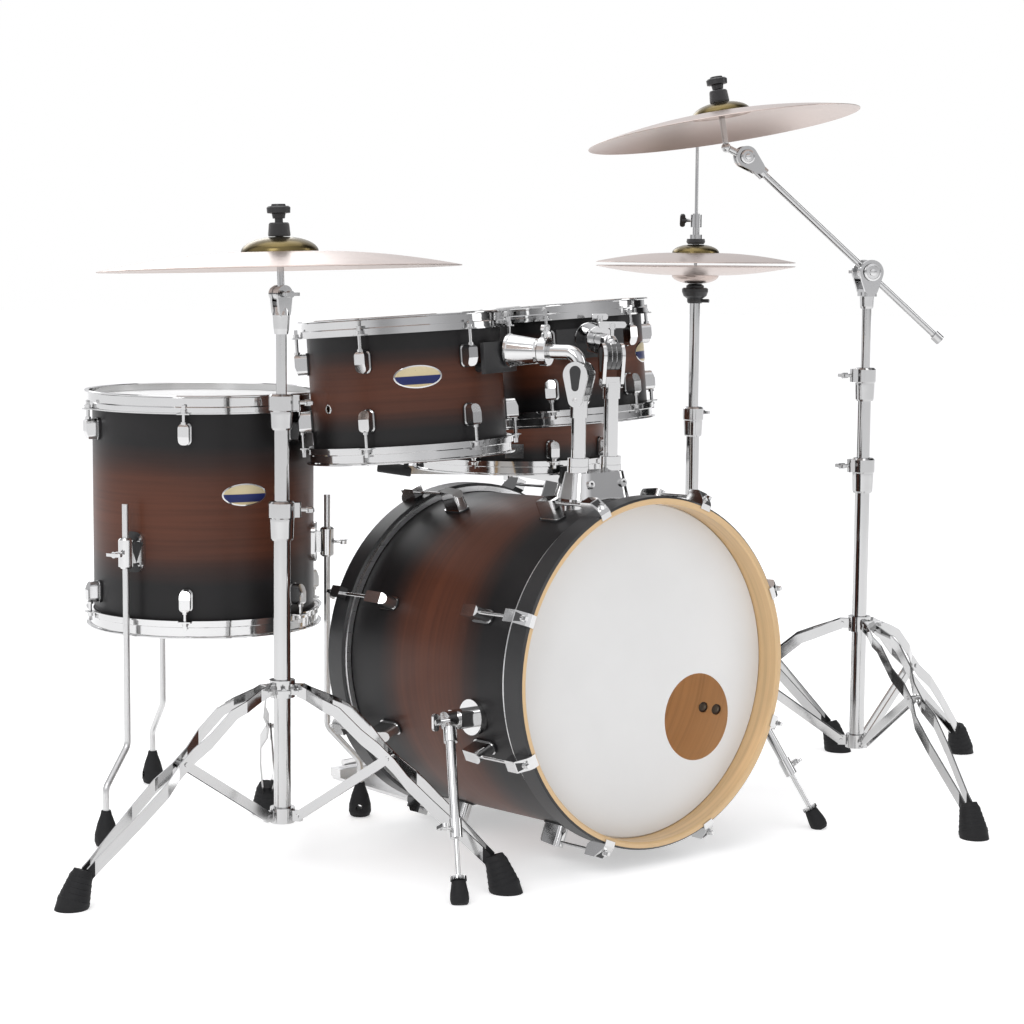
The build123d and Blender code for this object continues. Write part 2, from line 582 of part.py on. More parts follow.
def tripod(legs, foot_radius, hub, collar, tube_r=TUBE_LOW_R, bow=18.0):
    """Hub and sliding collar; three double-strip legs with double struts; their rubber feet."""
    base = tube(tube_r + 6, tube_r, hub[0], hub[1]) + tube(tube_r + 6.5, tube_r, collar[0], collar[1])
    top = (collar[0] + collar[1]) / 2
    low = (hub[0] + hub[1]) / 2
    start, end = tube_r + 16, foot_radius - 18
    strut_at = tube_r + 14
    run = end - start
    knee = (start + KNEE[0] * run, top - KNEE[1] * run)
    toe = (end, 44.0)
    out = start + PIVOT_SHARE * run
    pivot = (out, knee[1] + (toe[1] - knee[1]) * (out - knee[0]) / (toe[0] - knee[0]))
    leg_face = extrude(Plane.XZ * ribbon([(start, top), knee, toe], STRIP_WIDTH), 30, both=True)
    strut_face = Plane.XZ * ribbon([(strut_at, low), pivot], STRIP_WIDTH - 3)
    ears = Pos(tube_r + 12, 0, top) * Box(18, 15.4, 16) + Pos(tube_r + 11, 0, low) * Box(16, 8.4, 16)
    ears += rod((start, -12, top), (start, 12, top), 3.2)
    ears += rod((strut_at, -9, low), (strut_at, 9, low), 3.2)
    leg = leg_strip(start, end, -1, leg_face, bow) + leg_strip(start, end, 1, leg_face, bow)
    leg += rod((pivot[0], -12.6, pivot[1]), (pivot[0], 12.6, pivot[1]), 3.6)
    leg -= ears
    struts = []
    for y in (-5.6, 5.6):
        strut = Pos(0, y, 0) * extrude(strut_face, STRIP_GAUGE / 2, both=True)
        struts.append(strut - ears - leg)
    foot = rubber_foot(foot_radius + 4) - leg
    limbs, feet = [], []
    for angle in legs:
        base += Rot(Z=angle) * ears
        limbs += [Rot(Z=angle) * piece for piece in (leg, *struts)]
        feet.append(Rot(Z=angle) * foot)
    base -= Pos(0, 0, hub[0] - 5) * Cylinder(tube_r, 900, align=BASE)
    bolt = Pos(tube_r + 3, 0, top) * wing_bolt(14, 11)
    base += Rot(Z=legs[0] + 60) * bolt
    return base, limbs, feet


def save_stand(name, floor, column, limbs, feet):
    """Write a stand's base in its place: the column, its legs and struts, and its feet."""
    save(name, above_floor(floor * column), [floor * limb for limb in limbs],
         [above_floor(floor * foot) for foot in feet])


def clamp(levels, inner_r, outer_r, bolt_at):
    """A height clamp: a sleeve that grips the outer tube, a band, and its wing bolt."""
    low, high = levels
    lip = inner_r + RUNNING_GAP
    band = high - 26
    body = turned([(outer_r, low), (outer_r + 3.2, low), (outer_r + 4.6, low + 3),
                   (outer_r + 5.6, band - 3), (outer_r + 5.6, band), (outer_r + 7.4, band + 2),
                   (outer_r + 7.4, high - 3), (outer_r + 4.4, high), (lip, high), (lip, high - 22),
                   (outer_r, high - 22)])
    lugs = Pos(outer_r + 9, 0, high - 13) * rounded_bar(14, 15, 22, 5)
    bolt = Pos(outer_r + 12, 0, high - 13) * wing_bolt(11, 15)
    inside = Cylinder(outer_r + 2, 4000)
    return body + Rot(Z=bolt_at) * (lugs - inside + bolt)


def stand_tube(outer, bottom, top):
    return tube(outer, outer - TUBE_WALL, bottom, top)


def bell_top(size):
    return size["rise"] + size["bell_h"]


def cymbal(size):
    """A cymbal whose edge lies at z = 0: a bow that rises to a domed bell."""
    radius, bell_r, rise = size["radius"], size["bell_r"], size["rise"]
    under = []
    for k in range(9):
        r = radius + (bell_r - radius) * k / 8
        share = (r - bell_r) / (radius - bell_r)
        under.append((r, rise * (1 - share ** 1.8)))
    for k in range(1, 7):
        angle = radians(15 * k)
        r = CYMBAL_HOLE + (bell_r - CYMBAL_HOLE) * cos(angle)
        under.append((r, rise + size["bell_h"] * sin(angle)))
    over = [(r, z + CYMBAL_GAUGE) for r, z in under]
    return turned(under + over[::-1])


def cymbal_seat(top, sleeve_r=6.0):
    """Seat washer, felts, sleeve and knob about the z axis, for a bell whose top is at z = 0."""
    washer = tube(15, 0, -15, -12)
    felt = turned([(0, -12), (16, -12), (17, -8), (13, -4.5), (8.5, -1.6), (0, -1.6)])
    sleeve = tube(sleeve_r, 0, -1, top)
    felt_over = turned([(0, 2.2), (16, 2.2), (16.5, 4), (15, 20), (13.5, 22), (0, 22)])
    knob = turned([(0, top - 6), (9, top - 6), (10, top), (10, top + 1), (17, top + 2), (17.5, top + 10),
                   (15, top + 12), (11, top + 12), (10, top + 15), (0, top + 15)])
    return washer + felt + sleeve + felt_over + knob


def build_ride():
    floor = place(RIDE_XY)
    low, high, end, hinge = (RIDE_LEVELS[k] for k in ("clamp_low", "clamp_high", "tube_end", "hinge"))
    base, limbs, feet = tripod(RIDE_LEGS, RIDE_LEG_RADIUS, HUB_LOW, RIDE_COLLAR)
    base += stand_tube(TUBE_LOW_R, HUB_LOW[0], low[1] - 24) + clamp(low, TUBE_MID_R, TUBE_LOW_R, -30)
    save_stand("ride_stand_base", floor, base, limbs, feet)
    middle = stand_tube(TUBE_MID_R, 215, high[1] - 24) + clamp(high, TUBE_TOP_R, TUBE_MID_R, -30)
    save("ride_stand_middle_tube", floor * middle)
    casting = turned([(0, end - 8), (10, end - 8), (11.5, end), (13, end + 20), (11, end + 32),
                      (0, end + 34)])
    cheeks = [Pos(0, y, hinge) * drop_plate(13, 10, 26, 5) for y in (-8.6, 8.6)]
    bolt = Pos(0, -10, hinge) * Rot(Z=-90) * wing_bolt(9, 14)
    cap = rod((0, 10, hinge), (0, 17, hinge), 11)
    fork = casting + cheeks[0] + cheeks[1] + bolt + cap
    save("ride_stand_upper_tube", floor * (stand_tube(TUBE_TOP_R, 330, end) + fork))
    lean = place(RIDE_XY, hinge, RIDE_LEAN)
    bell = RIDE_CYMBAL_Z + bell_top(RIDE) - hinge
    ratchet = rod((0, -5.5, 0), (0, 5.5, 0), 12) + tube(5.2, 0, 0, bell - 12)
    seat = Pos(0, 0, bell) * cymbal_seat(34)
    save("ride_tilter", lean * (ratchet + seat))
    save("ride_cymbal", lean * Pos(0, 0, RIDE_CYMBAL_Z - hinge) * cymbal(RIDE))


def build_boom():
    floor = place(BOOM_XY)
    low, high, joint_z = (BOOM_LEVELS[k] for k in ("clamp_low", "clamp_high", "joint"))
    base, limbs, feet = tripod(BOOM_LEGS, BOOM_LEG_RADIUS, HUB_LOW, BOOM_COLLAR)
    base += stand_tube(TUBE_LOW_R, HUB_LOW[0], low[1] - 24) + clamp(low, TUBE_MID_R, TUBE_LOW_R, 160)
    save_stand("boom_stand_base", floor, base, limbs, feet)
    middle = stand_tube(TUBE_MID_R, 215, high[1] - 24) + clamp(high, TUBE_TOP_R, TUBE_MID_R, 160)
    save("boom_stand_middle_tube", floor * middle)
    aim = floor * Rot(Z=BOOM_AZIMUTH)
    neck = turned([(0, joint_z - 62), (10.5, joint_z - 62), (11.5, joint_z - 58), (12.5, joint_z - 40),
                   (12.5, joint_z - 34), (0, joint_z - 34)])
    bridge = Pos(0, 0, joint_z - 35) * rounded_bar(22, 42, 12, 5)
    fork = neck + bridge
    for y in (-18.5, 18.5):
        fork += Pos(0, y, joint_z) * drop_plate(21, 12, 28, 6)
    fork += rod((0, 21, joint_z), (0, 24, joint_z), 12)
    bolt = Pos(0, -20, joint_z) * Rot(Z=-90) * wing_bolt(16, 18)
    save("boom_stand_upper_tube", aim * (stand_tube(TUBE_TOP_R, 330, joint_z - 55) + fork + bolt))

    boom = aim * Pos(0, 0, joint_z) * Rot(Y=-BOOM_RISE)
    bar = rod((-BOOM_BACK, 0, 0), (BOOM_FORWARD, 0, 0), 5.6)
    block = rod((0, -15, 0), (0, 15, 0), 17)
    weight_end = rod((-BOOM_BACK - 6, 0, 0), (-BOOM_BACK + 10, 0, 0), 9)
    grip = rod((BOOM_FORWARD - 22, 0, 0), (BOOM_FORWARD, 0, 0), 11)
    at_pin = Pos(BOOM_FORWARD + BOOM_TIP, 0, 0) * Rot(Y=90)
    tip = grip
    for y in (-9, 9):
        tip += Pos(0, y, 0) * at_pin * drop_plate(18, 10, 28, 5)
    tip += at_pin * (rod((0, 11, 0), (0, 14, 0), 10) + Pos(0, -10, 0) * Rot(Z=-90) * wing_bolt(9, 14))
    save("boom_arm", boom * (bar + block + weight_end + tip))

    at = (boom * Pos(BOOM_FORWARD + BOOM_TIP, 0, 0)).position
    turn = Pos(at.X, at.Y, at.Z) * Rot(Z=BOOM_AZIMUTH)
    ratchet = turn * rod((0, -6, 0), (0, 6, 0), 16)
    along, up = CRASH_NECK
    neck = turn * (rod((0, 0, 0), (along, 0, up), 5.9) + Pos(along, 0, up) * Sphere(8))
    stem_foot = (turn * Pos(along, 0, up)).position
    lean = Pos(stem_foot.X, stem_foot.Y, stem_foot.Z) * Rot(X=CRASH_LEAN[0]) * Rot(Y=CRASH_LEAN[1])
    stem = lean * tube(5.0, 0, 0, CRASH_STEM - 12)
    save("crash_tilter", ratchet + neck + stem + lean * Pos(0, 0, CRASH_STEM) * cymbal_seat(30))
    save("crash_cymbal", lean * Pos(0, 0, CRASH_STEM - bell_top(CRASH)) * cymbal(CRASH))


# ---- hi-hat -------------------------------------------------------------------------------------
def pedal_plate(length, heel_width, toe_width, thick):
    """A tapered plate along +X from the heel at x = 0, with rounded corners."""
    outline = Polyline((0, -heel_width / 2), (length, -toe_width / 2), (length, toe_width / 2),
                       (0, heel_width / 2), close=True)
    plate = extrude(make_face(outline), thick)
    return fillet(plate.edges().filter_by(Axis.Z), 10)


def build_hihat():
    floor = place(HIHAT_XY)
    aim = floor * Rot(Z=HIHAT_PEDAL_AT)
    base, limbs, feet = tripod(HIHAT_LEGS, HIHAT_LEG_RADIUS, (92, 118), (250, 278), bow=13.0)
    base += stand_tube(TUBE_LOW_R, 70, HIHAT_CLAMP[1] - 24)
    base += clamp(HIHAT_CLAMP, 9.9, TUBE_LOW_R, 20)
    cage = Pos(0, 0, 8) * Box(40, 70, 72, align=BASE) - Pos(0, 0, 4) * Box(60, 54, 66, align=BASE)
    heel_plate = Pos(HIHAT_HEEL / 2 - 5, 0, 2) * Box(HIHAT_HEEL + 20, 46, 3, align=BASE)
    heel_block = Pos(HIHAT_HEEL - 8, 0, 2) * Box(26, 76, 14, align=BASE)
    underside = Box(60, 70, 8.2, align=BASE)
    bottom = cage + heel_plate + heel_block + underside
    bottom -= Pos(HIHAT_HEEL - 10, 0, 22) * Rot(X=90) * Cylinder(7, 50)
    save_stand("hihat_stand_base", floor, base + Rot(Z=HIHAT_PEDAL_AT) * bottom, limbs, feet)

    save("hihat_upper_tube", floor * (stand_tube(9.9, 380, HIHAT_SEAT_Z) + hihat_seat()))
    shaft = rod((0, 0, 96), (0, 0, HIHAT_ROD_TOP), 3.0)
    save("hihat_pull_rod", floor * (shaft + hihat_clutch()))
    lower_hat = Pos(0, 0, HIHAT_MEET_Z) * Rot(X=180) * cymbal(HAT)
    upper_hat = Pos(0, 0, HIHAT_MEET_Z + HIHAT_GAP) * cymbal(HAT)
    save("hihat_bottom_cymbal", floor * lower_hat)
    save("hihat_top_cymbal", floor * upper_hat)
    board = Pos(0, 0, -3) * pedal_plate(HIHAT_HEEL - 38, 84, 62, 6)
    board = Rot(Y=-HIHAT_PEDAL_RISE) * board
    pivot = rod((0, -22, 0), (0, 22, 0), 6)
    toe = HIHAT_HEEL - 46
    link = Pos(toe, 0, toe * sin(radians(HIHAT_PEDAL_RISE))) * Box(5, 12, 24, align=BASE)
    pedal = Pos(HIHAT_HEEL - 10, 0, 22) * Rot(Z=180) * (board + pivot + link)
    save("hihat_pedal", aim * pedal)


def hihat_seat():
    """The cup and felt that the lower cymbal lies on, with its small tilt screw."""
    low = HIHAT_SEAT_Z
    bell = HIHAT_MEET_Z - bell_top(HAT) - CYMBAL_GAUGE
    cup = turned([(4.2, low), (13, low), (15, low + 3), (15, low + 9), (18, low + 11), (22, low + 14),
                  (25, low + 22), (25, bell - 10), (22, bell - 8), (4.2, bell - 8)])
    felt = turned([(4.2, bell - 8), (17, bell - 8), (17, bell - 4), (12, bell - 0.4), (4.2, bell - 0.4)])
    screw = Pos(12, 0, low + 5) * rod((0, 0, 0), (16, 0, 0), 3.5)
    return cup + felt + Rot(Z=-60) * screw


def hihat_clutch():
    """The clutch: felts either side of the upper bell, a sleeve, a nut and a wing bolt."""
    bell = HIHAT_MEET_Z + HIHAT_GAP + bell_top(HAT)
    under = turned([(0, bell - 11), (10, bell - 11), (11, bell - 7), (8, bell - 2), (0, bell - 2)])
    sleeve = tube(6.4, 0, bell - 10, bell + 60)
    over = turned([(0, bell + 1.8), (15, bell + 1.8), (18, bell + 6), (17, bell + 12), (0, bell + 12)])
    body = tube(10.5, 0, bell + 34, bell + 58)
    nut = tube(11.5, 0, bell + 12, bell + 20)
    bolt = Pos(9, 0, bell + 47) * Rot(X=60) * wing_bolt(10, 13)
    return under + sleeve + over + body + nut + Rot(Z=141) * bolt


# ---- snare --------------------------------------------------------------------------------------
def build_snare():
    where = place(SNARE_XY, SNARE_Z)
    build_drum("snare", SNARE, where, SNARE_LUGS_AT, vent_at=-150)
    r, half = SNARE["radius"], SNARE["depth"] / 2
    body = Pos(r + 9, 0, 0) * Box(18, 34, 74)
    body = fillet(body.edges().filter_by(Axis.Z), 6)
    body -= Cylinder(r + 0.05, 400)
    butt = Rot(Z=180) * (Pos(r + 7, 0, -34) * Box(16, 34, 26) - Cylinder(r + 0.05, 400))
    knob = Pos(r + 10, 0, 37) * Cylinder(8, 12, align=BASE)
    pin = rod((r + 17, 0, -14), (r + 21, 0, -14), 5)
    at = Rot(Z=SNARE_STRAINER_AT)
    save("snare_strainer", where * at * (body + knob + pin), where * at * butt)
    lever = Pos(r + 24.4, 0, -14) * (Box(6, 14, 62, align=BASE) + rod((-3, 0, 0), (3, 0, 0), 9))
    lever -= rod((r, 0, -14), (r + 30, 0, -14), 5.0 + RUNNING_GAP)
    save("snare_lever", where * at * lever)
    wires = []
    for k in range(10):
        y = -20.25 + 4.5 * k
        wires.append(Pos(0, y, -half - 1.9) * Rot(Y=90) * Cylinder(0.9, 2 * r - 62))
    plates = [Pos(side * (r - 24), 0, -half - 2.4) * Box(14, 46, 3) for side in (-1, 1)]
    save("snare_wires", [where * at * w for w in wires], [where * at * p for p in plates])

    floor = place(SNARE_XY)
    hoop_low = SNARE_Z - SNARE["overall"] / 2
    strips = Pos(0, 6, 0) * Box(180, 2.5, 15) + Pos(0, -6, 0) * Box(180, 2.5, 15)
    arm = Pos(112, 0, hoop_low - 8) * strips
    grip = Pos(192, 0, hoop_low - 11) * Rot(Y=82) * Cylinder(10.6, 66, align=BASE)
    grip = fillet(grip.edges().filter_by(GeomType.CIRCLE), 3)
    lip = Pos(202, 0, hoop_low - 3) * Box(9, 20, 20, align=BASE)
    spider = tube(15, 0, hoop_low - 26, hoop_low - 1)
    for angle in SNARE_ARMS:
        spider += Rot(Z=angle) * (arm + grip + lip)
    spider += rod((0, -6, hoop_low - 44), (0, 6, hoop_low - 44), 12)
    spider += tube(6, 0, hoop_low - 44, hoop_low - 26)
    hoop_space = tube(r + HOOP_REACH + 0.2, r - 30, hoop_low - 0.1, hoop_low + 80)
    save("snare_basket", floor * (spider - hoop_space))
    fork = Pos(0, 0, hoop_low - 54) * Box(16, 26, 34) - Pos(0, 0, hoop_low - 40) * Box(40, 13, 34)
    column = tube(9.5, 0, 60, hoop_low - 62) + fork
    hub, limbs, feet = tripod(SNARE_LEGS, SNARE_LEG_RADIUS, (66, 96), (205, 230), 9.5, bow=13.0)
    column += hub + clamp((300, 345), 8.5, 9.5, 100)
    save_stand("snare_stand", floor, column, limbs, feet)


# ---- bass pedal ---------------------------------------------------------------------------------
def build_pedal():
    floor = place((0, 0))
    axle_y, axle_z = PEDAL_AXLE
    plate = Pos(0, 640, 0) * Box(92, 296, 5, align=BASE)
    towers = [Pos(x, axle_y + 2, 4) * Box(14, 26, axle_z + 12, align=BASE) for x in (-42, 42)]
    heel = Pos(0, PEDAL_HEEL_Y, 4) * Box(92, 30, 15, align=BASE)
    base = plate + towers[0] + towers[1] + heel
    base -= rod((-60, axle_y, axle_z), (60, axle_y, axle_z), 5.0)
    base -= rod((-36, PEDAL_HEEL_Y, 28), (36, PEDAL_HEEL_Y, 28), 10.5)
    jaw = Pos(0, 500, 4) * Box(34, 30, 5.5, align=BASE)
    save("pedal_base", floor * (base + jaw))

    board = Rot(Z=-90) * Pos(0, 0, -3) * pedal_plate(PEDAL_BOARD_LENGTH, 66, 54, 6)
    board = Rot(X=-PEDAL_BOARD_RISE) * board
    pivot = rod((-30, 0, 0), (30, 0, 0), 6)
    toe_y = -(PEDAL_BOARD_LENGTH - 8) * cos(radians(PEDAL_BOARD_RISE))
    toe_z = (PEDAL_BOARD_LENGTH - 8) * sin(radians(PEDAL_BOARD_RISE))
    chain = Pos(0, toe_y, toe_z) * Box(9, 5, 34, align=BASE)
    save("pedal_footboard", floor * Pos(0, PEDAL_HEEL_Y, 28) * (board + pivot + chain))

    axle = rod((-58, 0, 0), (58, 0, 0), 4.6)
    cam = rod((-6, 0, 0), (6, 0, 0), 26)
    stem = rod((0, 0, 0), (0, 0, BEATER_LENGTH), 4.0)
    felt = Pos(0, 0, BEATER_LENGTH) * Rot(X=90) * Cylinder(24, 36)
    felt = fillet(felt.edges().filter_by(GeomType.CIRCLE), 5)
    hammer = Rot(X=-BEATER_REST) * (stem + felt + Pos(0, 0, 22) * Cylinder(9, 24))
    save("pedal_beater", floor * Pos(0, axle_y, axle_z) * (axle + cam + hammer))


# ---- the kit ------------------------------------------------------------------------------------
os.makedirs("parts", exist_ok=True)
build_bass()
build_saddle()
TOM12_PLACE = place(TOM12_CENTRE[:2], TOM12_CENTRE[2], TOM12_LEAN)
TOM10_PLACE = place(TOM10_CENTRE[:2], TOM10_CENTRE[2], TOM10_LEAN)
build_drum("tom12", TOM12, TOM12_PLACE, TOM12_LUGS_AT, vent_at=-180)
build_drum("tom10", TOM10, TOM10_PLACE, TOM10_LUGS_AT)
build_tom_holder("tom12", -1, TOM12, TOM12_CENTRE, TOM12_LEAN, TOM12_MOUNT_AT)
build_tom_holder("tom10", 1, TOM10, TOM10_CENTRE, TOM10_LEAN, TOM10_MOUNT_AT)
build_floor_tom()
build_snare()
build_ride()
build_boom()
build_hihat()
build_pedal()
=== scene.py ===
"""Looks of the acoustic drum kit: camera, light, floor, materials and the fine pieces."""
import json
from math import asin, atan2, cos, degrees, pi, radians, sin

import bmesh
import bpy
from mathutils import Matrix, Vector


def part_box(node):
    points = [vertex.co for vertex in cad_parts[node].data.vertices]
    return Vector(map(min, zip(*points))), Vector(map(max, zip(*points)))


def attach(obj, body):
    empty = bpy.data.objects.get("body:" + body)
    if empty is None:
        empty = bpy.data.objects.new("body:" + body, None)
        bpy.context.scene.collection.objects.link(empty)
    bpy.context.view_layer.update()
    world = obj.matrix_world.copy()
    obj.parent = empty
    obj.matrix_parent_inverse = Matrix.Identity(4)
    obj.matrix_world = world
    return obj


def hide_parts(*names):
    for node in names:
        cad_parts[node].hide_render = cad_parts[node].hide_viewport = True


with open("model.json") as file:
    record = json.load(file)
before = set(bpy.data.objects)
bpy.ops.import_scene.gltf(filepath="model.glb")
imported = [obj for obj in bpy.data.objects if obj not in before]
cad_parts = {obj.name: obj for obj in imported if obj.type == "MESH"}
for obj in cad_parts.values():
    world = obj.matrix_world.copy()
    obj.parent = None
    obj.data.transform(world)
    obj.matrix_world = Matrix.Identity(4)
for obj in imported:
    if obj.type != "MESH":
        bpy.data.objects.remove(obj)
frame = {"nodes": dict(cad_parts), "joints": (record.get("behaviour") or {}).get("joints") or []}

NODES = frame["nodes"]
JOINTS = {joint["name"]: joint for joint in frame["joints"]}
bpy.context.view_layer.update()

# ---- sizes and places, in metres and degrees ---------------------------------------------------
INCH = 0.0254
# each drum's diameter and depth in inches, and its lean about X and Y
DRUM_SIZES = {
    "bass": (20, 16, (87.95, 0.0)),
    "tom12": (12, 8, (-3.9, -2.0)),
    "tom10": (10, 7, (-4.5, -2.5)),
    "floor_tom": (14, 14, (0.0, 0.0)),
    "snare": (14, 5.5, (0.0, 0.0)),
}
RADII = {name: diameter / 2 * INCH for name, (diameter, depth, lean) in DRUM_SIZES.items()}
BASS_LUGS = 8
BASS_LUG_TURN = 22.5       # the first bass lug's angle
INNER_BOLTS = (-0.134, -0.104, 0.104, 0.134)   # bolt heads along each bass lug
INNER_BOLT_REACH = 0.247   # the bass shell's inside
INNER_BOLT_R = 0.0085
INNER_BOLT_HEIGHT = 0.004
CLAW_FRONT = 0.2425        # a claw's front, from the bass drum's middle
LUG_GASKET_AND_PAINTED_SHADE = 0.00305       # the black strip under every lug: partly a real gasket, partly painted shade under the lug
SHELL_SKIN = 0.0021        # faces this far inside a shell's radius are raw wood
HEAD_COLLAR = 0.0012       # a head's flesh hoop starts this far outside the shell
MOUNT_GAP = (0.0050, 0.0243)   # the rack toms' mounts are black between these, from the shell
BRACKET_GASKET = (0.1824, 0.1832)
GRIP_REACH = 0.186         # where the snare basket's rubber grips start
SNARE_WIRES_AT = 52.5
STAND_NODES = ("ride_", "boom_", "crash_", "hihat_", "snare_stand")

TILTER_TEETH = 44
TOOTH_ROOT, TOOTH_TIP = 0.0199, 0.0214
BADGE_HALF = (0.0375, 0.0175)      # half width and half height of a badge's rim
BADGE_PRINT_HALF = (0.0350, 0.0155)
VENT_HEIGHT = -0.025

RIDE_LEAN = (-1.95, -0.65)
CRASH_LEAN = (-8.5, -4.5)
CYMBAL_GAUGE = 0.0013
CYMBAL_HOLE = 0.007
RIDE = dict(radius=0.2667, bell=0.057, bell_height=0.022, rise=0.024)
CRASH = dict(radius=0.2286, bell=0.050, bell_height=0.021, rise=0.024)
HAT = dict(radius=0.1905, bell=0.045, bell_height=0.016, rise=0.017)
RIDE_EDGE = 0.036          # a cymbal's rim above its tilter's pin
CRASH_EDGE = 0.029
UPPER_HAT_EDGE = 0.907     # heights above the floor
LOWER_HAT_EDGE = 0.901
HAT_BELL = 0.940
HAT_SEAT = 0.8292
KNOB_REACH = 0.03          # felts and knobs lie within this of a cymbal's axis

# the tripods: the angles of their legs, and how far out their feet stand
TRIPODS = {
    "ride_stand_base": ((180.5, -59.5, 60.5), 0.356),
    "boom_stand_base": ((-108.0, 12.0, 132.0), 0.381),
    "hihat_stand_base": ((-77.0, 43.0, 163.0), 0.333),
    "snare_stand": ((-47.6, -167.6, 72.4), 0.270),
}
FOOT_SLOPE = 20.0
FOOT_OUT = 0.004           # a foot's middle beyond its leg's end
FOOT_TOP = 0.058
FOOT_HALF = 0.028
FOOT_SPREAD = 9            # degrees to either side of a leg
BOOT_RIBS = 5
FLOOR_CUT = 0.0001         # the boots end this far above the floor
TOM_LEG_FOOT = 0.0573      # the top of the rubber on the floor tom's legs
SPUR_TIP = 0.0352
TOE_BAND = 0.0015
SPRING_FOOT = Vector((-0.0406, 0.026, 0.016))
SPRING_RUN = Vector((0, -0.012, 0.116))
SPRING_R = 0.0062
SPRING_WIRE = 0.0011
SPRING_TURNS = 15

# ---- camera, floor and light ----------------------------------------------------------------
CAMERA_AT = Vector((-2.5391, -3.1351, 0.9354))
CAMERA_RIGHT = Vector((0.77386, -0.63330, 0.00796))
CAMERA_UP = Vector((0.06355, 0.09015, 0.99390))
CAMERA_AHEAD = Vector((0.63016, 0.76864, -0.11001))
CAMERA_LENS = 84.45        # millimetres, for a sensor 36 mm wide


def add_camera():
    data = bpy.data.cameras.new("camera")
    data.lens = CAMERA_LENS
    data.sensor_width = 36.0
    data.clip_end = 60.0
    camera = bpy.data.objects.new("camera", data)
    bpy.context.scene.collection.objects.link(camera)
    turn = Matrix((CAMERA_RIGHT, CAMERA_UP, -CAMERA_AHEAD)).transposed().to_4x4()
    camera.matrix_world = Matrix.Translation(CAMERA_AT) @ turn
    bpy.context.scene.camera = camera
    bpy.context.scene.view_settings.view_transform = "Standard"


def add_area(name, at, target, size, power):
    """A rectangular soft box that faces a point."""
    data = bpy.data.lights.new(name, "AREA")
    data.shape = "RECTANGLE"
    data.size, data.size_y = size
    data.energy = power
    light = bpy.data.objects.new(name, data)
    bpy.context.scene.collection.objects.link(light)
    light.location = at
    light.rotation_euler = (Vector(target) - Vector(at)).to_track_quat("-Z", "Y").to_euler()


# brightness of the studio by height (0 below, 0.5 at the horizon, 1 above) and by bearing
SKY = ((0.0, 0.8), (0.47, 0.9), (0.5, 0.75), (0.56, 0.55), (0.62, 0.95), (1.0, 1.0))
FLAGS = ((0.0, 0.92), (0.05, 0.78), (0.08, 0.52), (0.11, 0.60), (0.15, 0.88), (0.22, 1.0), (0.30, 0.72),
         (0.36, 0.62), (0.42, 0.30), (0.465, 0.03), (0.53, 0.02), (0.56, 0.6), (0.66, 1.0), (0.78, 0.95),
         (0.82, 0.18), (0.85, 0.18), (0.88, 1.0), (0.96, 1.0))
STUDIO_STRENGTH = 1.12
FLOOR_GREY = 0.80
FLOOR_GLOW = 0.45


def add_light():
    add_area("key_left", (-3.4, -2.0, 3.0), (0, 0, 0.6), (1.6, 2.4), 46)
    add_area("fill_right", (3.4, -2.6, 2.2), (0, 0, 0.5), (1.2, 2.6), 22)
    add_area("top", (0, 0.4, 3.8), (0, 0, 0.4), (3.4, 2.8), 40)
    add_area("rim_back", (0.6, 3.6, 2.4), (0, 0, 0.6), (3.0, 1.2), 22)
    inside = bpy.data.lights.new("inside_bass", "POINT")
    inside.energy = 1.6
    inside.color = (1.0, 0.86, 0.7)
    inside.shadow_soft_size = 0.08
    bulb = bpy.data.objects.new("inside_bass", inside)
    bpy.context.scene.collection.objects.link(bulb)
    bulb.location = middle_of("bass_shell") + Vector((-0.05, -0.05, 0.06))
    add_studio()


def add_studio():
    world = bpy.data.worlds.new("studio")
    bpy.context.scene.world = world
    world.use_nodes = True
    tree = world.node_tree
    tree.nodes.clear()
    out = tree.nodes.new("ShaderNodeOutputWorld")
    coords = tree.nodes.new("ShaderNodeTexCoord")
    split = tree.nodes.new("ShaderNodeSeparateXYZ")
    tree.links.new(coords.outputs["Generated"], split.inputs[0])
    height = world_ramp(tree, world_math(tree, "MULTIPLY_ADD", split.outputs["Z"], 0.5, 0.5), SKY)
    bearing = world_math(tree, "ARCTAN2", split.outputs["Y"], split.outputs["X"])
    turn = world_math(tree, "MULTIPLY_ADD", bearing, 0.5 / pi, 0.5)
    flags = world_ramp(tree, turn, FLAGS)
    both = tree.nodes.new("ShaderNodeMix")
    both.data_type = "RGBA"
    both.blend_type = "MULTIPLY"
    both.inputs[0].default_value = 1.0
    tree.links.new(height, both.inputs[6])
    tree.links.new(flags, both.inputs[7])
    reflected = tree.nodes.new("ShaderNodeBackground")
    reflected.inputs["Strength"].default_value = STUDIO_STRENGTH
    tree.links.new(both.outputs[2], reflected.inputs["Color"])
    seen = tree.nodes.new("ShaderNodeBackground")
    seen.inputs["Color"].default_value = (1, 1, 1, 1)
    path = tree.nodes.new("ShaderNodeLightPath")
    mix = tree.nodes.new("ShaderNodeMixShader")
    tree.links.new(path.outputs["Is Camera Ray"], mix.inputs[0])
    tree.links.new(reflected.outputs[0], mix.inputs[1])
    tree.links.new(seen.outputs[0], mix.inputs[2])
    tree.links.new(mix.outputs[0], out.inputs["Surface"])


def world_math(tree, operation, first, second, third=None):
    """A maths node whose inputs are sockets or plain numbers."""
    made = tree.nodes.new("ShaderNodeMath")
    made.operation = operation
    for socket, value in zip(made.inputs, (first, second, third)):
        if isinstance(value, float):
            socket.default_value = value
        elif value is not None:
            tree.links.new(value, socket)
    return made.outputs[0]


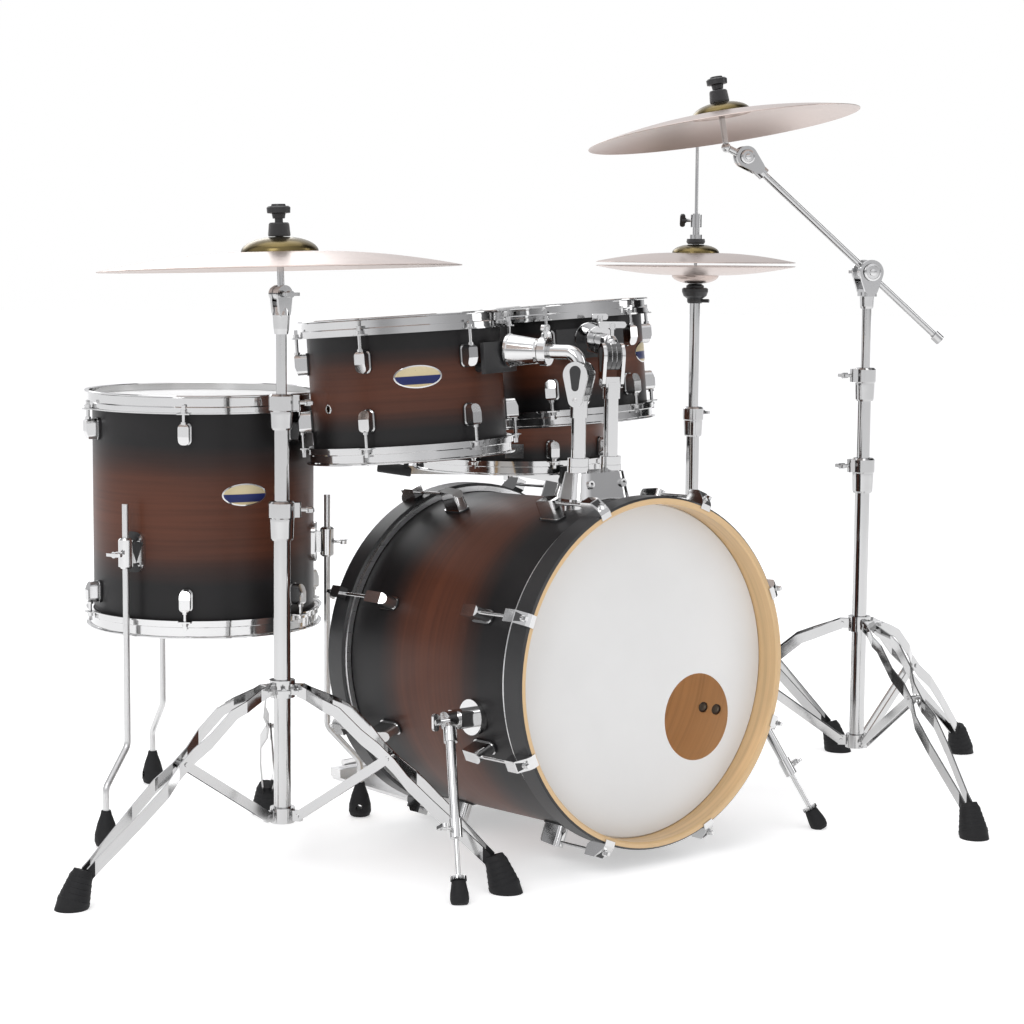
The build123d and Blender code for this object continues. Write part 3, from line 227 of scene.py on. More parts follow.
def world_ramp(tree, value, stops):
    """A ramp of greys, a touch cooler than neutral."""
    made = tree.nodes.new("ShaderNodeValToRGB")
    points = made.color_ramp.elements
    while len(points) < len(stops):
        points.new(0.5)
    for point, (at, grey) in zip(points, stops):
        point.position = at
        point.color = (grey, grey, grey * 1.01, 1)
    tree.links.new(value, made.inputs[0])
    return made.outputs[0]


def add_floor():
    """A wide pale disc that fades into the white background."""
    mesh = bpy.data.meshes.new("floor")
    form = bmesh.new()
    bmesh.ops.create_circle(form, cap_ends=True, segments=96, radius=30)
    form.to_mesh(mesh)
    form.free()
    floor = bpy.data.objects.new("floor", mesh)
    bpy.context.scene.collection.objects.link(floor)
    paint = bpy.data.materials.new("pale_floor")
    paint.use_nodes = True
    shader = paint.node_tree.nodes["Principled BSDF"]
    shader.inputs["Base Color"].default_value = (FLOOR_GREY, FLOOR_GREY, FLOOR_GREY, 1)
    shader.inputs["Roughness"].default_value = 0.9
    shader.inputs["Specular IOR Level"].default_value = 0.0
    shader.inputs["Emission Color"].default_value = (1, 1, 1, 1)
    shader.inputs["Emission Strength"].default_value = FLOOR_GLOW
    mesh.materials.append(paint)


# ---- materials ----------------------------------------------------------------------------------
BURST_DARK = (0.0080, 0.0074, 0.0080)
BURST_RED = (0.088, 0.0265, 0.0125)
MAPLE = (0.60, 0.41, 0.215)
RAW_MAPLE = (0.36, 0.212, 0.098)
BRONZE = (0.55, 0.46, 0.42)
BELL_BRONZE = (0.16, 0.122, 0.052)


class Paint:
    """A node material in the making: a Principled shader and short calls that feed it."""

    def __init__(self, name, color, rough, metal=0.0):
        self.material = bpy.data.materials.new(name)
        self.material.use_nodes = True
        self.tree = self.material.node_tree
        self.shader = self.tree.nodes["Principled BSDF"]
        self.set("Base Color", (*color, 1))
        self.set("Roughness", rough)
        self.set("Metallic", metal)

    def set(self, socket, value):
        self.shader.inputs[socket].default_value = value

    def node(self, kind, **values):
        made = self.tree.nodes.new(kind)
        for key, value in values.items():
            if key in made.inputs:
                made.inputs[key].default_value = value
            else:
                setattr(made, key, value)
        return made

    def link(self, source, target):
        self.tree.links.new(source, target)

    def place(self, matrix=None, scale=(1, 1, 1)):
        """Object coordinates, turned into a drum's own frame if a matrix is given, then scaled."""
        where = self.node("ShaderNodeTexCoord").outputs["Object"]
        mapping = self.node("ShaderNodeMapping", vector_type="TEXTURE")
        if matrix is not None:
            mapping.inputs["Location"].default_value = matrix.to_translation()
            mapping.inputs["Rotation"].default_value = matrix.to_euler()
        self.link(where, mapping.inputs["Vector"])
        sized = self.node("ShaderNodeMapping")
        sized.inputs["Scale"].default_value = scale
        self.link(mapping.outputs[0], sized.inputs["Vector"])
        return sized.outputs[0]

    def noise(self, vector, scale, detail, rough=0.5):
        made = self.node("ShaderNodeTexNoise")
        made.inputs["Scale"].default_value = scale
        made.inputs["Detail"].default_value = detail
        made.inputs["Roughness"].default_value = rough
        self.link(vector, made.inputs["Vector"])
        return made.outputs["Fac"]

    def ramp(self, value, stops):
        made = self.node("ShaderNodeValToRGB")
        points = made.color_ramp.elements
        while len(points) < len(stops):
            points.new(0.5)
        for point, (at, color) in zip(points, stops):
            point.position = at
            point.color = (*color, 1)
        self.link(value, made.inputs[0])
        return made.outputs[0]

    def span(self, value, low, high):
        made = self.node("ShaderNodeMapRange")
        made.inputs["To Min"].default_value = low
        made.inputs["To Max"].default_value = high
        self.link(value, made.inputs["Value"])
        return made.outputs[0]

    def bump(self, height, strength, distance):
        made = self.node("ShaderNodeBump")
        made.inputs["Strength"].default_value = strength
        made.inputs["Distance"].default_value = distance
        self.link(height, made.inputs["Height"])
        self.link(made.outputs[0], self.shader.inputs["Normal"])

    def feed(self, value, socket):
        self.link(value, self.shader.inputs[socket])


def chrome(name="chrome", grey=0.66, rough=0.07):
    """Polished chrome, its shine and tone slightly uneven."""
    paint = Paint(name, (grey, grey, grey * 1.01), rough, 1.0)
    where = paint.place()
    cloud = paint.noise(where, 22, 3)
    paint.feed(paint.span(cloud, rough * 0.6, rough * 1.7), "Roughness")
    tint = paint.ramp(paint.noise(where, 7, 2), [(0.3, (grey * 0.94,) * 3), (0.7, (grey,) * 3)])
    paint.feed(tint, "Base Color")
    return paint.material


def brushed(name="bright_steel", grey=0.62):
    """Metal with fine level scratches."""
    paint = Paint(name, (grey,) * 3, 0.28, 1.0)
    where = paint.place(scale=(60, 60, 900))
    streak = paint.noise(where, 1.0, 3)
    paint.feed(paint.span(streak, 0.2, 0.42), "Roughness")
    paint.bump(streak, 0.08, 0.0003)
    return paint.material


def coiled(name, matrix):
    """Bright wire wound in a close coil along a frame's X axis, with painted shade in the grooves between
    its turns.
    """
    paint = Paint(name, (0.6, 0.6, 0.6), 0.2, 1.0)
    wave = paint.node("ShaderNodeTexWave", wave_type="BANDS", bands_direction="X")
    wave.inputs["Scale"].default_value = 150.0
    paint.link(paint.place(matrix), wave.inputs["Vector"])
    # the dark bands are painted shade in the grooves between the wire's turns
    paint.feed(paint.ramp(wave.outputs["Fac"], [(0.2, (0.12,) * 3), (0.6, (0.66,) * 3)]), "Base Color")
    paint.bump(wave.outputs["Fac"], 0.8, 0.0005)
    return paint.material


def rubber():
    """Matt black rubber with a fine grain."""
    paint = Paint("black_rubber", (0.012, 0.012, 0.013), 0.62)
    where = paint.place()
    grain = paint.noise(where, 420, 4)
    paint.feed(paint.span(grain, 0.48, 0.78), "Roughness")
    paint.bump(grain, 0.25, 0.0004)
    paint.set("Specular IOR Level", 0.25)
    return paint.material


def felt():
    """Black felt: coarse fibres and a faint sheen."""
    paint = Paint("black_felt", (0.03, 0.03, 0.032), 0.95)
    where = paint.place()
    fibre = paint.noise(where, 900, 6, 0.7)
    paint.bump(fibre, 0.6, 0.0008)
    paint.set("Sheen Weight", 0.5)
    return paint.material


def head_film():
    """The coated white film of a drumhead."""
    paint = Paint("head_film", (0.70, 0.70, 0.69), 0.42)
    where = paint.place()
    cloud = paint.noise(where, 5, 4)
    tint = paint.ramp(cloud, [(0.25, (0.66, 0.66, 0.655)), (0.75, (0.72, 0.72, 0.715))])
    paint.feed(tint, "Base Color")
    grain = paint.noise(where, 700, 3)
    paint.bump(grain, 0.06, 0.0003)
    paint.feed(paint.span(grain, 0.35, 0.5), "Roughness")
    return paint.material


def black_plastic(name="black_plastic"):
    """Satin black, for plastic and for lacquered wood."""
    paint = Paint(name, (0.02, 0.02, 0.021), 0.38)
    where = paint.place()
    grain = paint.noise(where, 600, 3)
    paint.feed(paint.span(grain, 0.3, 0.5), "Roughness")
    paint.bump(grain, 0.1, 0.0002)
    return paint.material


def burst_wood(name, matrix, half):
    """Satin burst lacquer over maple: near black at both ends of a drum, red brown between."""
    paint = Paint(name, BURST_DARK, 0.42)
    local = paint.place(matrix)
    split = paint.node("ShaderNodeSeparateXYZ")
    paint.link(local, split.inputs[0])
    height = paint.node("ShaderNodeMath", operation="ABSOLUTE")
    paint.link(split.outputs["Z"], height.inputs[0])
    share = paint.node("ShaderNodeMath", operation="MULTIPLY_ADD")
    paint.link(height.outputs[0], share.inputs[0])
    share.inputs[1].default_value = 1.0 / half
    drift = paint.span(paint.noise(local, 3.0, 3), -0.05, 0.05)
    paint.link(drift, share.inputs[2])
    burst = paint.ramp(share.outputs[0], [(0.10, (1, 1, 1)), (0.32, (0.8, 0.8, 0.8)),
                                          (0.46, (0.28, 0.28, 0.28)), (0.62, (0, 0, 0))])
    grain = paint.noise(paint.place(matrix, (2.6, 2.6, 130.0)), 1.0, 6, 0.62)
    figure = paint.noise(paint.place(matrix, (9.0, 9.0, 16.0)), 1.0, 3)
    reds = paint.ramp(grain, [(0.30, tuple(c * 0.78 for c in BURST_RED)), (0.52, BURST_RED),
                              (0.75, tuple(c * 1.22 for c in BURST_RED))])
    darks = paint.ramp(figure, [(0.3, tuple(c * 0.85 for c in BURST_DARK)),
                                (0.7, tuple(c * 1.3 for c in BURST_DARK))])
    mix = paint.node("ShaderNodeMix", data_type="RGBA")
    paint.link(burst, mix.inputs[0])
    paint.link(darks, mix.inputs[6])
    paint.link(reds, mix.inputs[7])
    paint.feed(mix.outputs[2], "Base Color")
    paint.feed(paint.span(figure, 0.36, 0.48), "Roughness")
    paint.bump(grain, 0.04, 0.0002)
    paint.set("Specular IOR Level", 0.28)
    paint.set("Coat Weight", 0.06)
    paint.set("Coat Roughness", 0.25)
    return paint.material


def maple(name, matrix, light=MAPLE):
    """Clear-lacquered maple whose grain runs round the drum."""
    paint = Paint(name, light, 0.38)
    grain = paint.noise(paint.place(matrix, (3, 3, 160)), 1.0, 6, 0.6)
    color = paint.ramp(grain, [(0.28, tuple(c * 0.80 for c in light)), (0.5, light),
                               (0.78, tuple(min(1, c * 1.12) for c in light))])
    paint.feed(color, "Base Color")
    paint.bump(grain, 0.06, 0.0003)
    paint.set("Coat Weight", 0.2)
    paint.set("Coat Roughness", 0.3)
    return paint.material


def bronze(name, matrix, color=BRONZE, rough=0.30):
    """Lathed bronze: fine rings round the cymbal's own axis over a soft cloudy tone."""
    paint = Paint(name, color, rough, 1.0)
    local = paint.place(matrix)
    rings = paint.node("ShaderNodeTexWave", wave_type="RINGS", rings_direction="Z")
    rings.inputs["Scale"].default_value = 160.0
    rings.inputs["Distortion"].default_value = 0.4
    paint.link(local, rings.inputs["Vector"])
    cloud = paint.noise(local, 9, 4)
    paint.feed(paint.ramp(cloud, [(0.3, tuple(c * 0.88 for c in color)), (0.7, color)]), "Base Color")
    paint.feed(paint.span(cloud, rough * 0.9, rough * 1.2), "Roughness")
    paint.bump(rings.outputs["Fac"], 0.02, 0.0001)
    return paint.material


def badge_face(name, matrix):
    """A small oval plate's print: a cream ground with a dark blue band."""
    paint = Paint(name, (0.6, 0.5, 0.3), 0.3, 0.4)
    split = paint.node("ShaderNodeSeparateXYZ")
    paint.link(paint.place(matrix), split.inputs[0])
    height = paint.node("ShaderNodeMapRange")
    height.inputs["From Min"].default_value = -0.02
    height.inputs["From Max"].default_value = 0.02
    paint.link(split.outputs["Z"], height.inputs["Value"])
    color = paint.ramp(height.outputs[0], [(0.0, (0.55, 0.45, 0.26)), (0.20, (0.55, 0.45, 0.26)),
                                           (0.22, (0.012, 0.02, 0.10)), (0.52, (0.015, 0.025, 0.13)),
                                           (0.54, (0.65, 0.55, 0.33)), (1.0, (0.72, 0.63, 0.42))])
    paint.feed(color, "Base Color")
    grain = paint.noise(paint.place(), 900, 3)
    paint.feed(paint.span(grain, 0.22, 0.4), "Roughness")
    return paint.material


# ---- mesh helpers ---------------------------------------------------------------------------------
def new_piece(name, form, material, body, smooth=40.0):
    """Turn a bmesh into an object that rides on a body."""
    mesh = bpy.data.meshes.new(name)
    bmesh.ops.recalc_face_normals(form, faces=form.faces)
    form.to_mesh(mesh)
    form.free()
    piece = bpy.data.objects.new(name, mesh)
    bpy.context.scene.collection.objects.link(piece)
    mesh.materials.append(material)
    mesh.shade_smooth()
    mesh.set_sharp_from_angle(angle=radians(smooth))
    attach(piece, body)
    return piece


def lathe(form, profile, matrix, steps=96):
    """Turn an (r, z) outline about a matrix's Z axis; r = 0 makes a pole."""
    rings = []
    for r, z in profile:
        if r < 1e-7:
            rings.append([form.verts.new(matrix @ Vector((0, 0, z)))])
            continue
        ring = []
        for k in range(steps):
            turn = 2 * pi * k / steps
            ring.append(form.verts.new(matrix @ Vector((r * cos(turn), r * sin(turn), z))))
        rings.append(ring)
    count = len(rings)
    closed = not (len(rings[0]) == 1 and len(rings[-1]) == 1)
    for k in range(count if closed else count - 1):
        low, high = rings[k], rings[(k + 1) % count]
        for j in range(steps):
            i = (j + 1) % steps
            if len(low) == 1:
                corner = (low[0], high[i], high[j])
            elif len(high) == 1:
                corner = (low[j], low[i], high[0])
            else:
                corner = (low[j], low[i], high[i], high[j])
            form.faces.new(corner)


def rounded(profile, radius, steps=4):
    """Round the corners of a closed (r, z) outline by a radius."""
    result = []
    for k, corner in enumerate(profile):
        corner = Vector(corner)
        before = Vector(profile[k - 1]) - corner
        after = Vector(profile[(k + 1) % len(profile)]) - corner
        if corner.x < 1e-7 or before.length < 1e-7 or after.length < 1e-7:
            result.append(tuple(corner))
            continue
        reach = min(radius, before.length * 0.45, after.length * 0.45)
        start, end = corner + before.normalized() * reach, corner + after.normalized() * reach
        for step in range(steps + 1):
            t = step / steps
            point = start * (1 - t) ** 2 + corner * 2 * t * (1 - t) + end * t ** 2
            result.append(tuple(point))
    return result


def paint_faces(node, material, test):
    """Give the faces of a CAD node that pass a test on their centre another material."""
    mesh = NODES[node].data
    mesh.materials.append(material)
    index = len(mesh.materials) - 1
    for face in mesh.polygons:
        if test(face.center, face.normal):
            face.material_index = index


def frame_of(centre, lean=(0, 0), turn=0):
    """The same placing as the CAD's: a point, a lean about X, then Y, then a turn about Z."""
    place = Matrix.Translation(centre)
    for angle, axis in ((lean[0], "X"), (lean[1], "Y"), (turn, "Z")):
        place = place @ Matrix.Rotation(radians(angle), 4, axis)
    return place


def middle_of(node):
    """The middle of a CAD node's box."""
    low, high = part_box(node)
    return (low + high) / 2


# ---- cymbals ----------------------------------------------------------------------------------------
def cymbal_outline(radius, bell, bell_height, rise):
    """The (r, z) outline of a cymbal: a bow, a domed bell and a rounded edge."""
    under = []
    for k in range(41):
        r = radius + (bell - radius) * k / 40
        share = max(0.0, (r - bell) / (radius - bell))
        under.append((r, rise * (1 - share ** 1.8)))
    for k in range(1, 19):
        r = CYMBAL_HOLE + (bell - CYMBAL_HOLE) * cos(radians(5 * k))
        under.append((r, rise + bell_height * sin(radians(5 * k))))
    over = [(r, z + CYMBAL_GAUGE) for r, z in under]
    edge = [(radius + 0.0004, CYMBAL_GAUGE * 0.7), (radius + 0.0004, CYMBAL_GAUGE * 0.3)]
    return under + over[::-1] + edge


def add_cymbal(name, node, sizes, matrix, body, dark_bell=True):
    """A cymbal in place of its CAD node, with its bell's top in a darker bronze."""
    form = bmesh.new()
    lathe(form, cymbal_outline(**sizes), matrix, 160)
    piece = new_piece(name, form, bronze(f"{name}_bronze", matrix), body, 35)
    piece.data.materials.append(bronze(f"{name}_bell", matrix, BELL_BRONZE, 0.24))
    inverse = matrix.inverted()
    for face in piece.data.polygons:
        centre, normal = inverse @ face.center, inverse.to_3x3() @ face.normal
        if dark_bell and normal.z > 0 and (centre.x ** 2 + centre.y ** 2) ** 0.5 < sizes["bell"]:
            face.material_index = 1
    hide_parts(node)


# ---- small pieces -----------------------------------------------------------------------------------
def curved_plate(form, matrix, radius, angle, height, half_width, half_height, gauge, lift=0.0, steps=40):
    """An oval plate that lies on a drum's shell, bent round it."""
    rings = []
    for share, out in ((0.0, gauge), (0.55, gauge), (0.88, gauge), (1.0, gauge * 0.5), (1.0, -0.0002)):
        ring = []
        for k in range(steps if share else 1):
            turn = 2 * pi * k / steps
            sweep = radians(angle) + share * half_width * cos(turn) / radius
            r = radius + lift + out
            z = height + share * half_height * sin(turn)
            ring.append(form.verts.new(matrix @ Vector((r * cos(sweep), r * sin(sweep), z))))
        rings.append(ring)
    for low, high in zip(rings, rings[1:]):
        for k in range(steps):
            i = (k + 1) % steps
            if len(low) == 1:
                form.faces.new((low[0], high[k], high[i]))
            else:
                form.faces.new((low[k], high[k], high[i], low[i]))


def add_badge(drum, angle, height, body):
    """A drum's oval badge: a chrome rim and a plain printed face."""
    matrix, radius = DRUMS[drum][0], RADII[drum]
    rim = bmesh.new()
    curved_plate(rim, matrix, radius, angle, height, *BADGE_HALF, 0.0009)
    new_piece(f"{drum}_badge_rim", rim, CHROME, body, 60)
    face = bmesh.new()
    curved_plate(face, matrix, radius, angle, height, *BADGE_PRINT_HALF, 0.0006, 0.0008)
    paint = badge_face(f"{drum}_badge", matrix @ Matrix.Translation((0, 0, height)))
    new_piece(f"{drum}_badge_face", face, paint, body, 60)


def add_grommet(drum, angle, height, body):
    """The ring in a drum's vent hole."""
    matrix, radius = DRUMS[drum][0], RADII[drum]
    at = matrix @ Matrix.Rotation(radians(angle), 4, "Z") @ Matrix.Translation((radius, 0, height))
    at = at @ Matrix.Rotation(pi / 2, 4, "Y")
    form = bmesh.new()
    outline = [(0.0047, -0.004), (0.0074, -0.0006), (0.0074, 0.0006), (0.0064, 0.0016), (0.0047, 0.0014)]
    lathe(form, rounded(outline, 0.0004), at, 40)
    new_piece(f"{drum}_vent_grommet", form, CHROME, body)


def disc(form, matrix, radius, height):
    """A small button on a plane: z = 0 is its foot, with a rounded rim."""
    outline = [(0, -0.0004), (radius, -0.0004), (radius, height * 0.7),
               (radius * 0.9, height * 0.88), (radius * 0.6, height), (0, height)]
    lathe(form, outline, matrix, 28)


def lug_turn(lug):
    """The turn about the bass drum's axis that brings its X to a lug."""
    return Matrix.Rotation(radians(BASS_LUG_TURN + 360 / BASS_LUGS * lug), 4, "Z")


def add_inner_bolts():
    """Round black bolt heads inside the bass shell, four along each lug's line."""
    form = bmesh.new()
    matrix = DRUMS["bass"][0]
    for lug in range(BASS_LUGS):
        turn = matrix @ lug_turn(lug)
        for z in INNER_BOLTS:
            at = turn @ Matrix.Translation((INNER_BOLT_REACH, 0, z)) @ Matrix.Rotation(-pi / 2, 4, "Y")
            disc(form, at, INNER_BOLT_R, INNER_BOLT_HEIGHT)
    new_piece("bass_inner_bolts", form, BLACK, "kit_base")


def add_claw_painted_pocket_shade():
    """A thin black slab on each claw's sloping front, behind its rod's head: painted shade where the
    pocket would be.
    """
    form = bmesh.new()
    matrix = DRUMS["bass"][0]
    (r0, z0), (r1, z1) = (0.2775, CLAW_FRONT - 0.0015), (0.2890, CLAW_FRONT - 0.0130)
    for end in (1, -1):
        for lug in range(BASS_LUGS):
            turn = matrix @ lug_turn(lug)
            out = Vector((z0 - z1, 0, r1 - r0)).normalized() * 0.0006
            outline = [(r0, -0.0035, z0), (r0, 0.0035, z0), (r1, 0.0072, z1), (r1, -0.0072, z1)]
            low = [form.verts.new(turn @ place_end(Vector(p) - out, end)) for p in outline]
            high = [form.verts.new(turn @ place_end(Vector(p) + out, end)) for p in outline]
            form.faces.new(high)
            form.faces.new(low[::-1])
            for k in range(4):
                i = (k + 1) % 4
                form.faces.new((low[k], low[i], high[i], high[k]))
    bmesh.ops.bevel(form, geom=form.edges[:], offset=0.0003, segments=1, affect="EDGES")
    # the black slab is painted shade standing in for a pocket cut into the claw
    new_piece("bass_claw_painted_pocket_shade", form, BLACK, "kit_base")


def joint_frame(name):
    """A frame on a hinge: Y along its pin and Z as near upright as that allows."""
    pin = Vector(JOINTS[name]["axis"]).normalized()
    side = pin.cross(Vector((0, 0, 1))).normalized()
    up = side.cross(pin)
    turn = Matrix((side, pin, up)).transposed().to_4x4()
    return Matrix.Translation(JOINTS[name]["pos_m"]) @ turn


def plate(form, outline, matrix, start, end, bevel=0.0004):
    """A flat plate in a frame's X-Z plane, from start to end along its Y, with eased edges."""
    own = bmesh.new()
    faces = []
    for y in (start, end):
        ring = [own.verts.new((x, y, z)) for x, z in outline]
        faces.append(ring)
        own.faces.new(ring)
    count = len(outline)
    for k in range(count):
        i = (k + 1) % count
        own.faces.new((faces[0][k], faces[0][i], faces[1][i], faces[1][k]))
    bmesh.ops.recalc_face_normals(own, faces=own.faces)
    long_edges = [e for e in own.edges if abs(e.verts[0].co.y - e.verts[1].co.y) < 1e-9]
    bmesh.ops.bevel(own, geom=long_edges, offset=bevel, segments=2, affect="EDGES", clamp_overlap=True)
    own.transform(matrix)
    spare = bpy.data.meshes.new("spare")
    own.to_mesh(spare)
    own.free()
    form.from_mesh(spare)
    bpy.data.meshes.remove(spare)


def drop_outline(large, small, drop, steps=16):
    """The outline of two circles and their common tangents: the small one below the large."""
    lean = asin((large - small) / drop)
    points = []
    for k in range(steps + 1):
        turn = -lean + (pi + 2 * lean) * k / steps
        points.append((large * cos(turn), large * sin(turn)))
    for k in range(steps + 1):
        turn = pi + lean + (pi - 2 * lean) * k / steps
        points.append((small * cos(turn), small * sin(turn) - drop))
    return points


def add_tilter_trim(tom, body, holder):
    """Dark inlays and a screw in a tilter's two cheeks, and the toothed disc between them."""
    at = joint_frame(f"{tom}_tilt")
    inlay, screws, gear = bmesh.new(), bmesh.new(), bmesh.new()
    outline = [(x, z + 0.005) for x, z in drop_outline(0.0092, 0.0058, 0.024)]
    for side in (-1, 1):
        plate(inlay, outline, at, side * 0.0170, side * 0.0178)
        facing = at @ Matrix.Translation((0, side * 0.0171, -0.0385))
        disc(screws, facing @ Matrix.Rotation(-side * pi / 2, 4, "X"), 0.0032, 0.0012)
    new_piece(f"{tom}_tilter_inlays", inlay, BLACK, holder)
    new_piece(f"{tom}_tilter_screws", screws, STEEL, holder)
    ring = []
    for k in range(2 * TILTER_TEETH):
        reach = TOOTH_TIP if k % 2 else TOOTH_ROOT
        ring.append((reach * cos(pi * k / TILTER_TEETH), reach * sin(pi * k / TILTER_TEETH)))
    for start, end in ((-0.0108, -0.0042), (-0.0032, 0.0032), (0.0042, 0.0108)):
        plate(gear, ring, at, start, end, 0.0003)
    new_piece(f"{tom}_tilter_teeth", gear, DARK_STEEL, body)


def add_caps():
    """Domed caps on the pins of the boom's clamp and of the crash tilter."""
    outline = [(0, -0.0004), (0.0150, -0.0004), (0.0152, 0.0012), (0.0146, 0.0026), (0.0118, 0.0036),
               (0.0112, 0.0028), (0.0064, 0.0030), (0.0058, 0.0044), (0.0030, 0.0052), (0, 0.0054)]
    for joint, body, reach, size in (("boom_swing", "boom_upper", 0.0240, 1.0),
                                     ("crash_tilt", "boom", 0.0140, 0.8)):
        at = joint_frame(joint)
        side = 1 if (at.to_3x3() @ Vector((0, 1, 0))).y < 0 else -1
        at = at @ Matrix.Translation((0, side * reach, 0)) @ Matrix.Rotation(-side * pi / 2, 4, "X")
        form = bmesh.new()
        lathe(form, [(r * size, z * size) for r, z in outline], at, 48)
        new_piece(f"{joint}_cap", form, CHROME, body)


def add_pedal_spring():
    """The pedal's coil spring between its two hooks."""
    turn = SPRING_RUN.to_track_quat("Z", "Y").to_matrix().to_4x4()
    at = Matrix.Translation(SPRING_FOOT) @ turn
    length = SPRING_RUN.length
    points = [(0, 0, 0)]
    steps = SPRING_TURNS * 20
    hook = 0.08
    for k in range(steps + 1):
        share = k / steps
        angle = 2 * pi * SPRING_TURNS * share
        height = length * (hook + (1 - 2 * hook) * share)
        points.append((SPRING_R * cos(angle), SPRING_R * sin(angle), height))
    points.append((0, 0, length))
    form = bmesh.new()
    sweep_round(form, [at @ Vector(p) for p in points], SPRING_WIRE)
    new_piece("pedal_spring", form, STEEL, "kit_base", 60)


def sweep_round(form, points, radius, sides=8):
    """A round bar along a line of points."""
    rings = []
    side = None
    for k, point in enumerate(points):
        ahead = (points[min(k + 1, len(points) - 1)] - points[max(k - 1, 0)]).normalized()
        if side is None:
            side = ahead.orthogonal().normalized()
        side = (side - ahead * side.dot(ahead)).normalized()
        other = ahead.cross(side)
        turns = [2 * pi * j / sides for j in range(sides)]
        rings.append([form.verts.new(point + radius * (side * cos(t) + other * sin(t))) for t in turns])
    for low, high in zip(rings, rings[1:]):
        for j in range(sides):
            i = (j + 1) % sides
            form.faces.new((low[j], low[i], high[i], high[j]))
    form.faces.new(rings[0][::-1])
    form.faces.new(rings[-1])


def place_end(point, end):
    """The same point at the bass drum's front (1) or back (-1)."""
    return Vector((point.x, point.y, point.z * end))


# ---- which faces of a CAD node take which material -----------------------------------------------
def radial(matrix):
    """A test helper: a point's distance from a matrix's Z axis and its height along it."""
    inverse = matrix.inverted()

    def measure(point):
        local = inverse @ point
        return (local.x ** 2 + local.y ** 2) ** 0.5, local.z

    return measure


def upright(place):
    """A test helper for a piece whose axis is upright."""
    return radial(Matrix.Translation((place.x, place.y, 0)))


def paint_plain():
    """One material for each whole node; the faces that differ are painted over it."""
    for name, node in NODES.items():
        plain = STAND_CHROME if name.startswith(STAND_NODES) else CHROME
        node.data.materials.clear()
        node.data.materials.append(FILM if name.endswith("_heads") else plain)


def paint_drum(name):
    """Burst shell with a raw inside, white heads, and a black strip under every lug, partly a real gasket
    and partly painted shade.
    """
    matrix, half = DRUMS[name]
    radius = RADII[name]
    measure = radial(matrix)
    NODES[f"{name}_shell"].data.materials[0] = burst_wood(f"{name}_burst", matrix, half)
    raw = maple(f"{name}_inside", matrix, RAW_MAPLE)
    paint_faces(f"{name}_shell", raw, lambda c, n: measure(c)[0] < radius - SHELL_SKIN)
    # the black base of each lug is partly a gasket, partly painted shade under the lug
    paint_faces(f"{name}_lugs", BLACK, lambda c, n: measure(c)[0] < radius + LUG_GASKET_AND_PAINTED_SHADE)
    paint_faces(f"{name}_heads", FLESH_HOOP, lambda c, n: measure(c)[0] > radius + HEAD_COLLAR)


def paint_bass_hoops():
    """Satin black outside and towards the shell, natural maple on the front edge and inside."""
    matrix = DRUMS["bass"][0]
    inverse = matrix.inverted()
    turned_back = matrix.to_3x3().inverted()

    def is_black(centre, normal):
        local = inverse @ centre
        facing = turned_back @ normal
        outward = Vector((local.x, local.y, 0)).normalized().dot(facing)
        inward = -facing.z if local.z > 0 else facing.z
        return outward > 0.35 or inward > 0.6

    lacquer = black_plastic("hoop_lacquer")
    NODES["bass_hoops"].data.materials[0] = maple("bass_hoop_maple", matrix)
    paint_faces("bass_hoops", lacquer, is_black)


def add_boots(stand, axis, legs, reach):
    """Ribbed rubber boots over a tripod's three plain feet, trimmed flat at the floor."""
    outline = [(0, -0.016), (0.0231, -0.016), (0.0231, 0.007)]
    for k in range(BOOT_RIBS):
        z = 0.0085 + 0.0083 * k
        width = 0.0228 - (z - 0.006) * 0.19
        outline += [(width + 0.0014, z), (width + 0.0010, z + 0.0056), (width + 0.0002, z + 0.0062),
                    (width + 0.0001, z + 0.0078)]
    outline += [(0.0146, 0.0515), (0.0130, 0.0566), (0, 0.0566)]
    form = bmesh.new()
    for leg in legs:
        at = Matrix.Translation((axis.x, axis.y, 0)) @ Matrix.Rotation(radians(leg), 4, "Z")
        at = at @ Matrix.Translation((reach + FOOT_OUT, 0, 0))
        lathe(form, outline, at @ Matrix.Rotation(radians(-FOOT_SLOPE), 4, "Y"), 48)
    everything = form.verts[:] + form.edges[:] + form.faces[:]
    cut = bmesh.ops.bisect_plane(form, geom=everything, plane_co=(0, 0, FLOOR_CUT), plane_no=(0, 0, 1),
                                 clear_inner=True)
    rim = [item for item in cut["geom_cut"] if isinstance(item, bmesh.types.BMEdge)]
    bmesh.ops.edgeloop_fill(form, edges=rim)
    new_piece(f"{stand}_boots", form, RUBBER, "kit_base", 30)


def paint_feet(stand, axis):
    """Rubber on a tripod's feet, found by their height and place, and the boots over them."""
    legs, reach = TRIPODS[stand]

    def is_foot(c, n):
        dx, dy = c.x - axis.x, c.y - axis.y
        off = min(abs((degrees(atan2(dy, dx)) - leg + 180) % 360 - 180) for leg in legs)
        return c.z < FOOT_TOP and (dx * dx + dy * dy) ** 0.5 > reach - FOOT_HALF and off < FOOT_SPREAD

    paint_faces(stand, RUBBER, is_foot)
    add_boots(stand, axis, legs, reach)


def paint_tom_leg(leg):
    """A bright steel leg on a rubber foot."""
    NODES[leg].data.materials[0] = STEEL
    paint_faces(leg, RUBBER, lambda c, n: c.z < TOM_LEG_FOOT)


def paint_spur(side):
    """Rubber on a spur's tip, measured back from its toe along the spur."""
    spur = f"bass_spur_{side}"
    points = [v.co for v in NODES[spur].data.vertices]
    floor_z = min(p.z for p in points)
    low = [p for p in points if p.z < floor_z + TOE_BAND]
    toe = sum(low, Vector()) / len(low)
    axis = (toe - Vector(JOINTS[f"spur_{side}_fold"]["pos_m"])).normalized()
    paint_faces(spur, RUBBER, lambda c, n: (c - toe).dot(-axis) < SPUR_TIP)


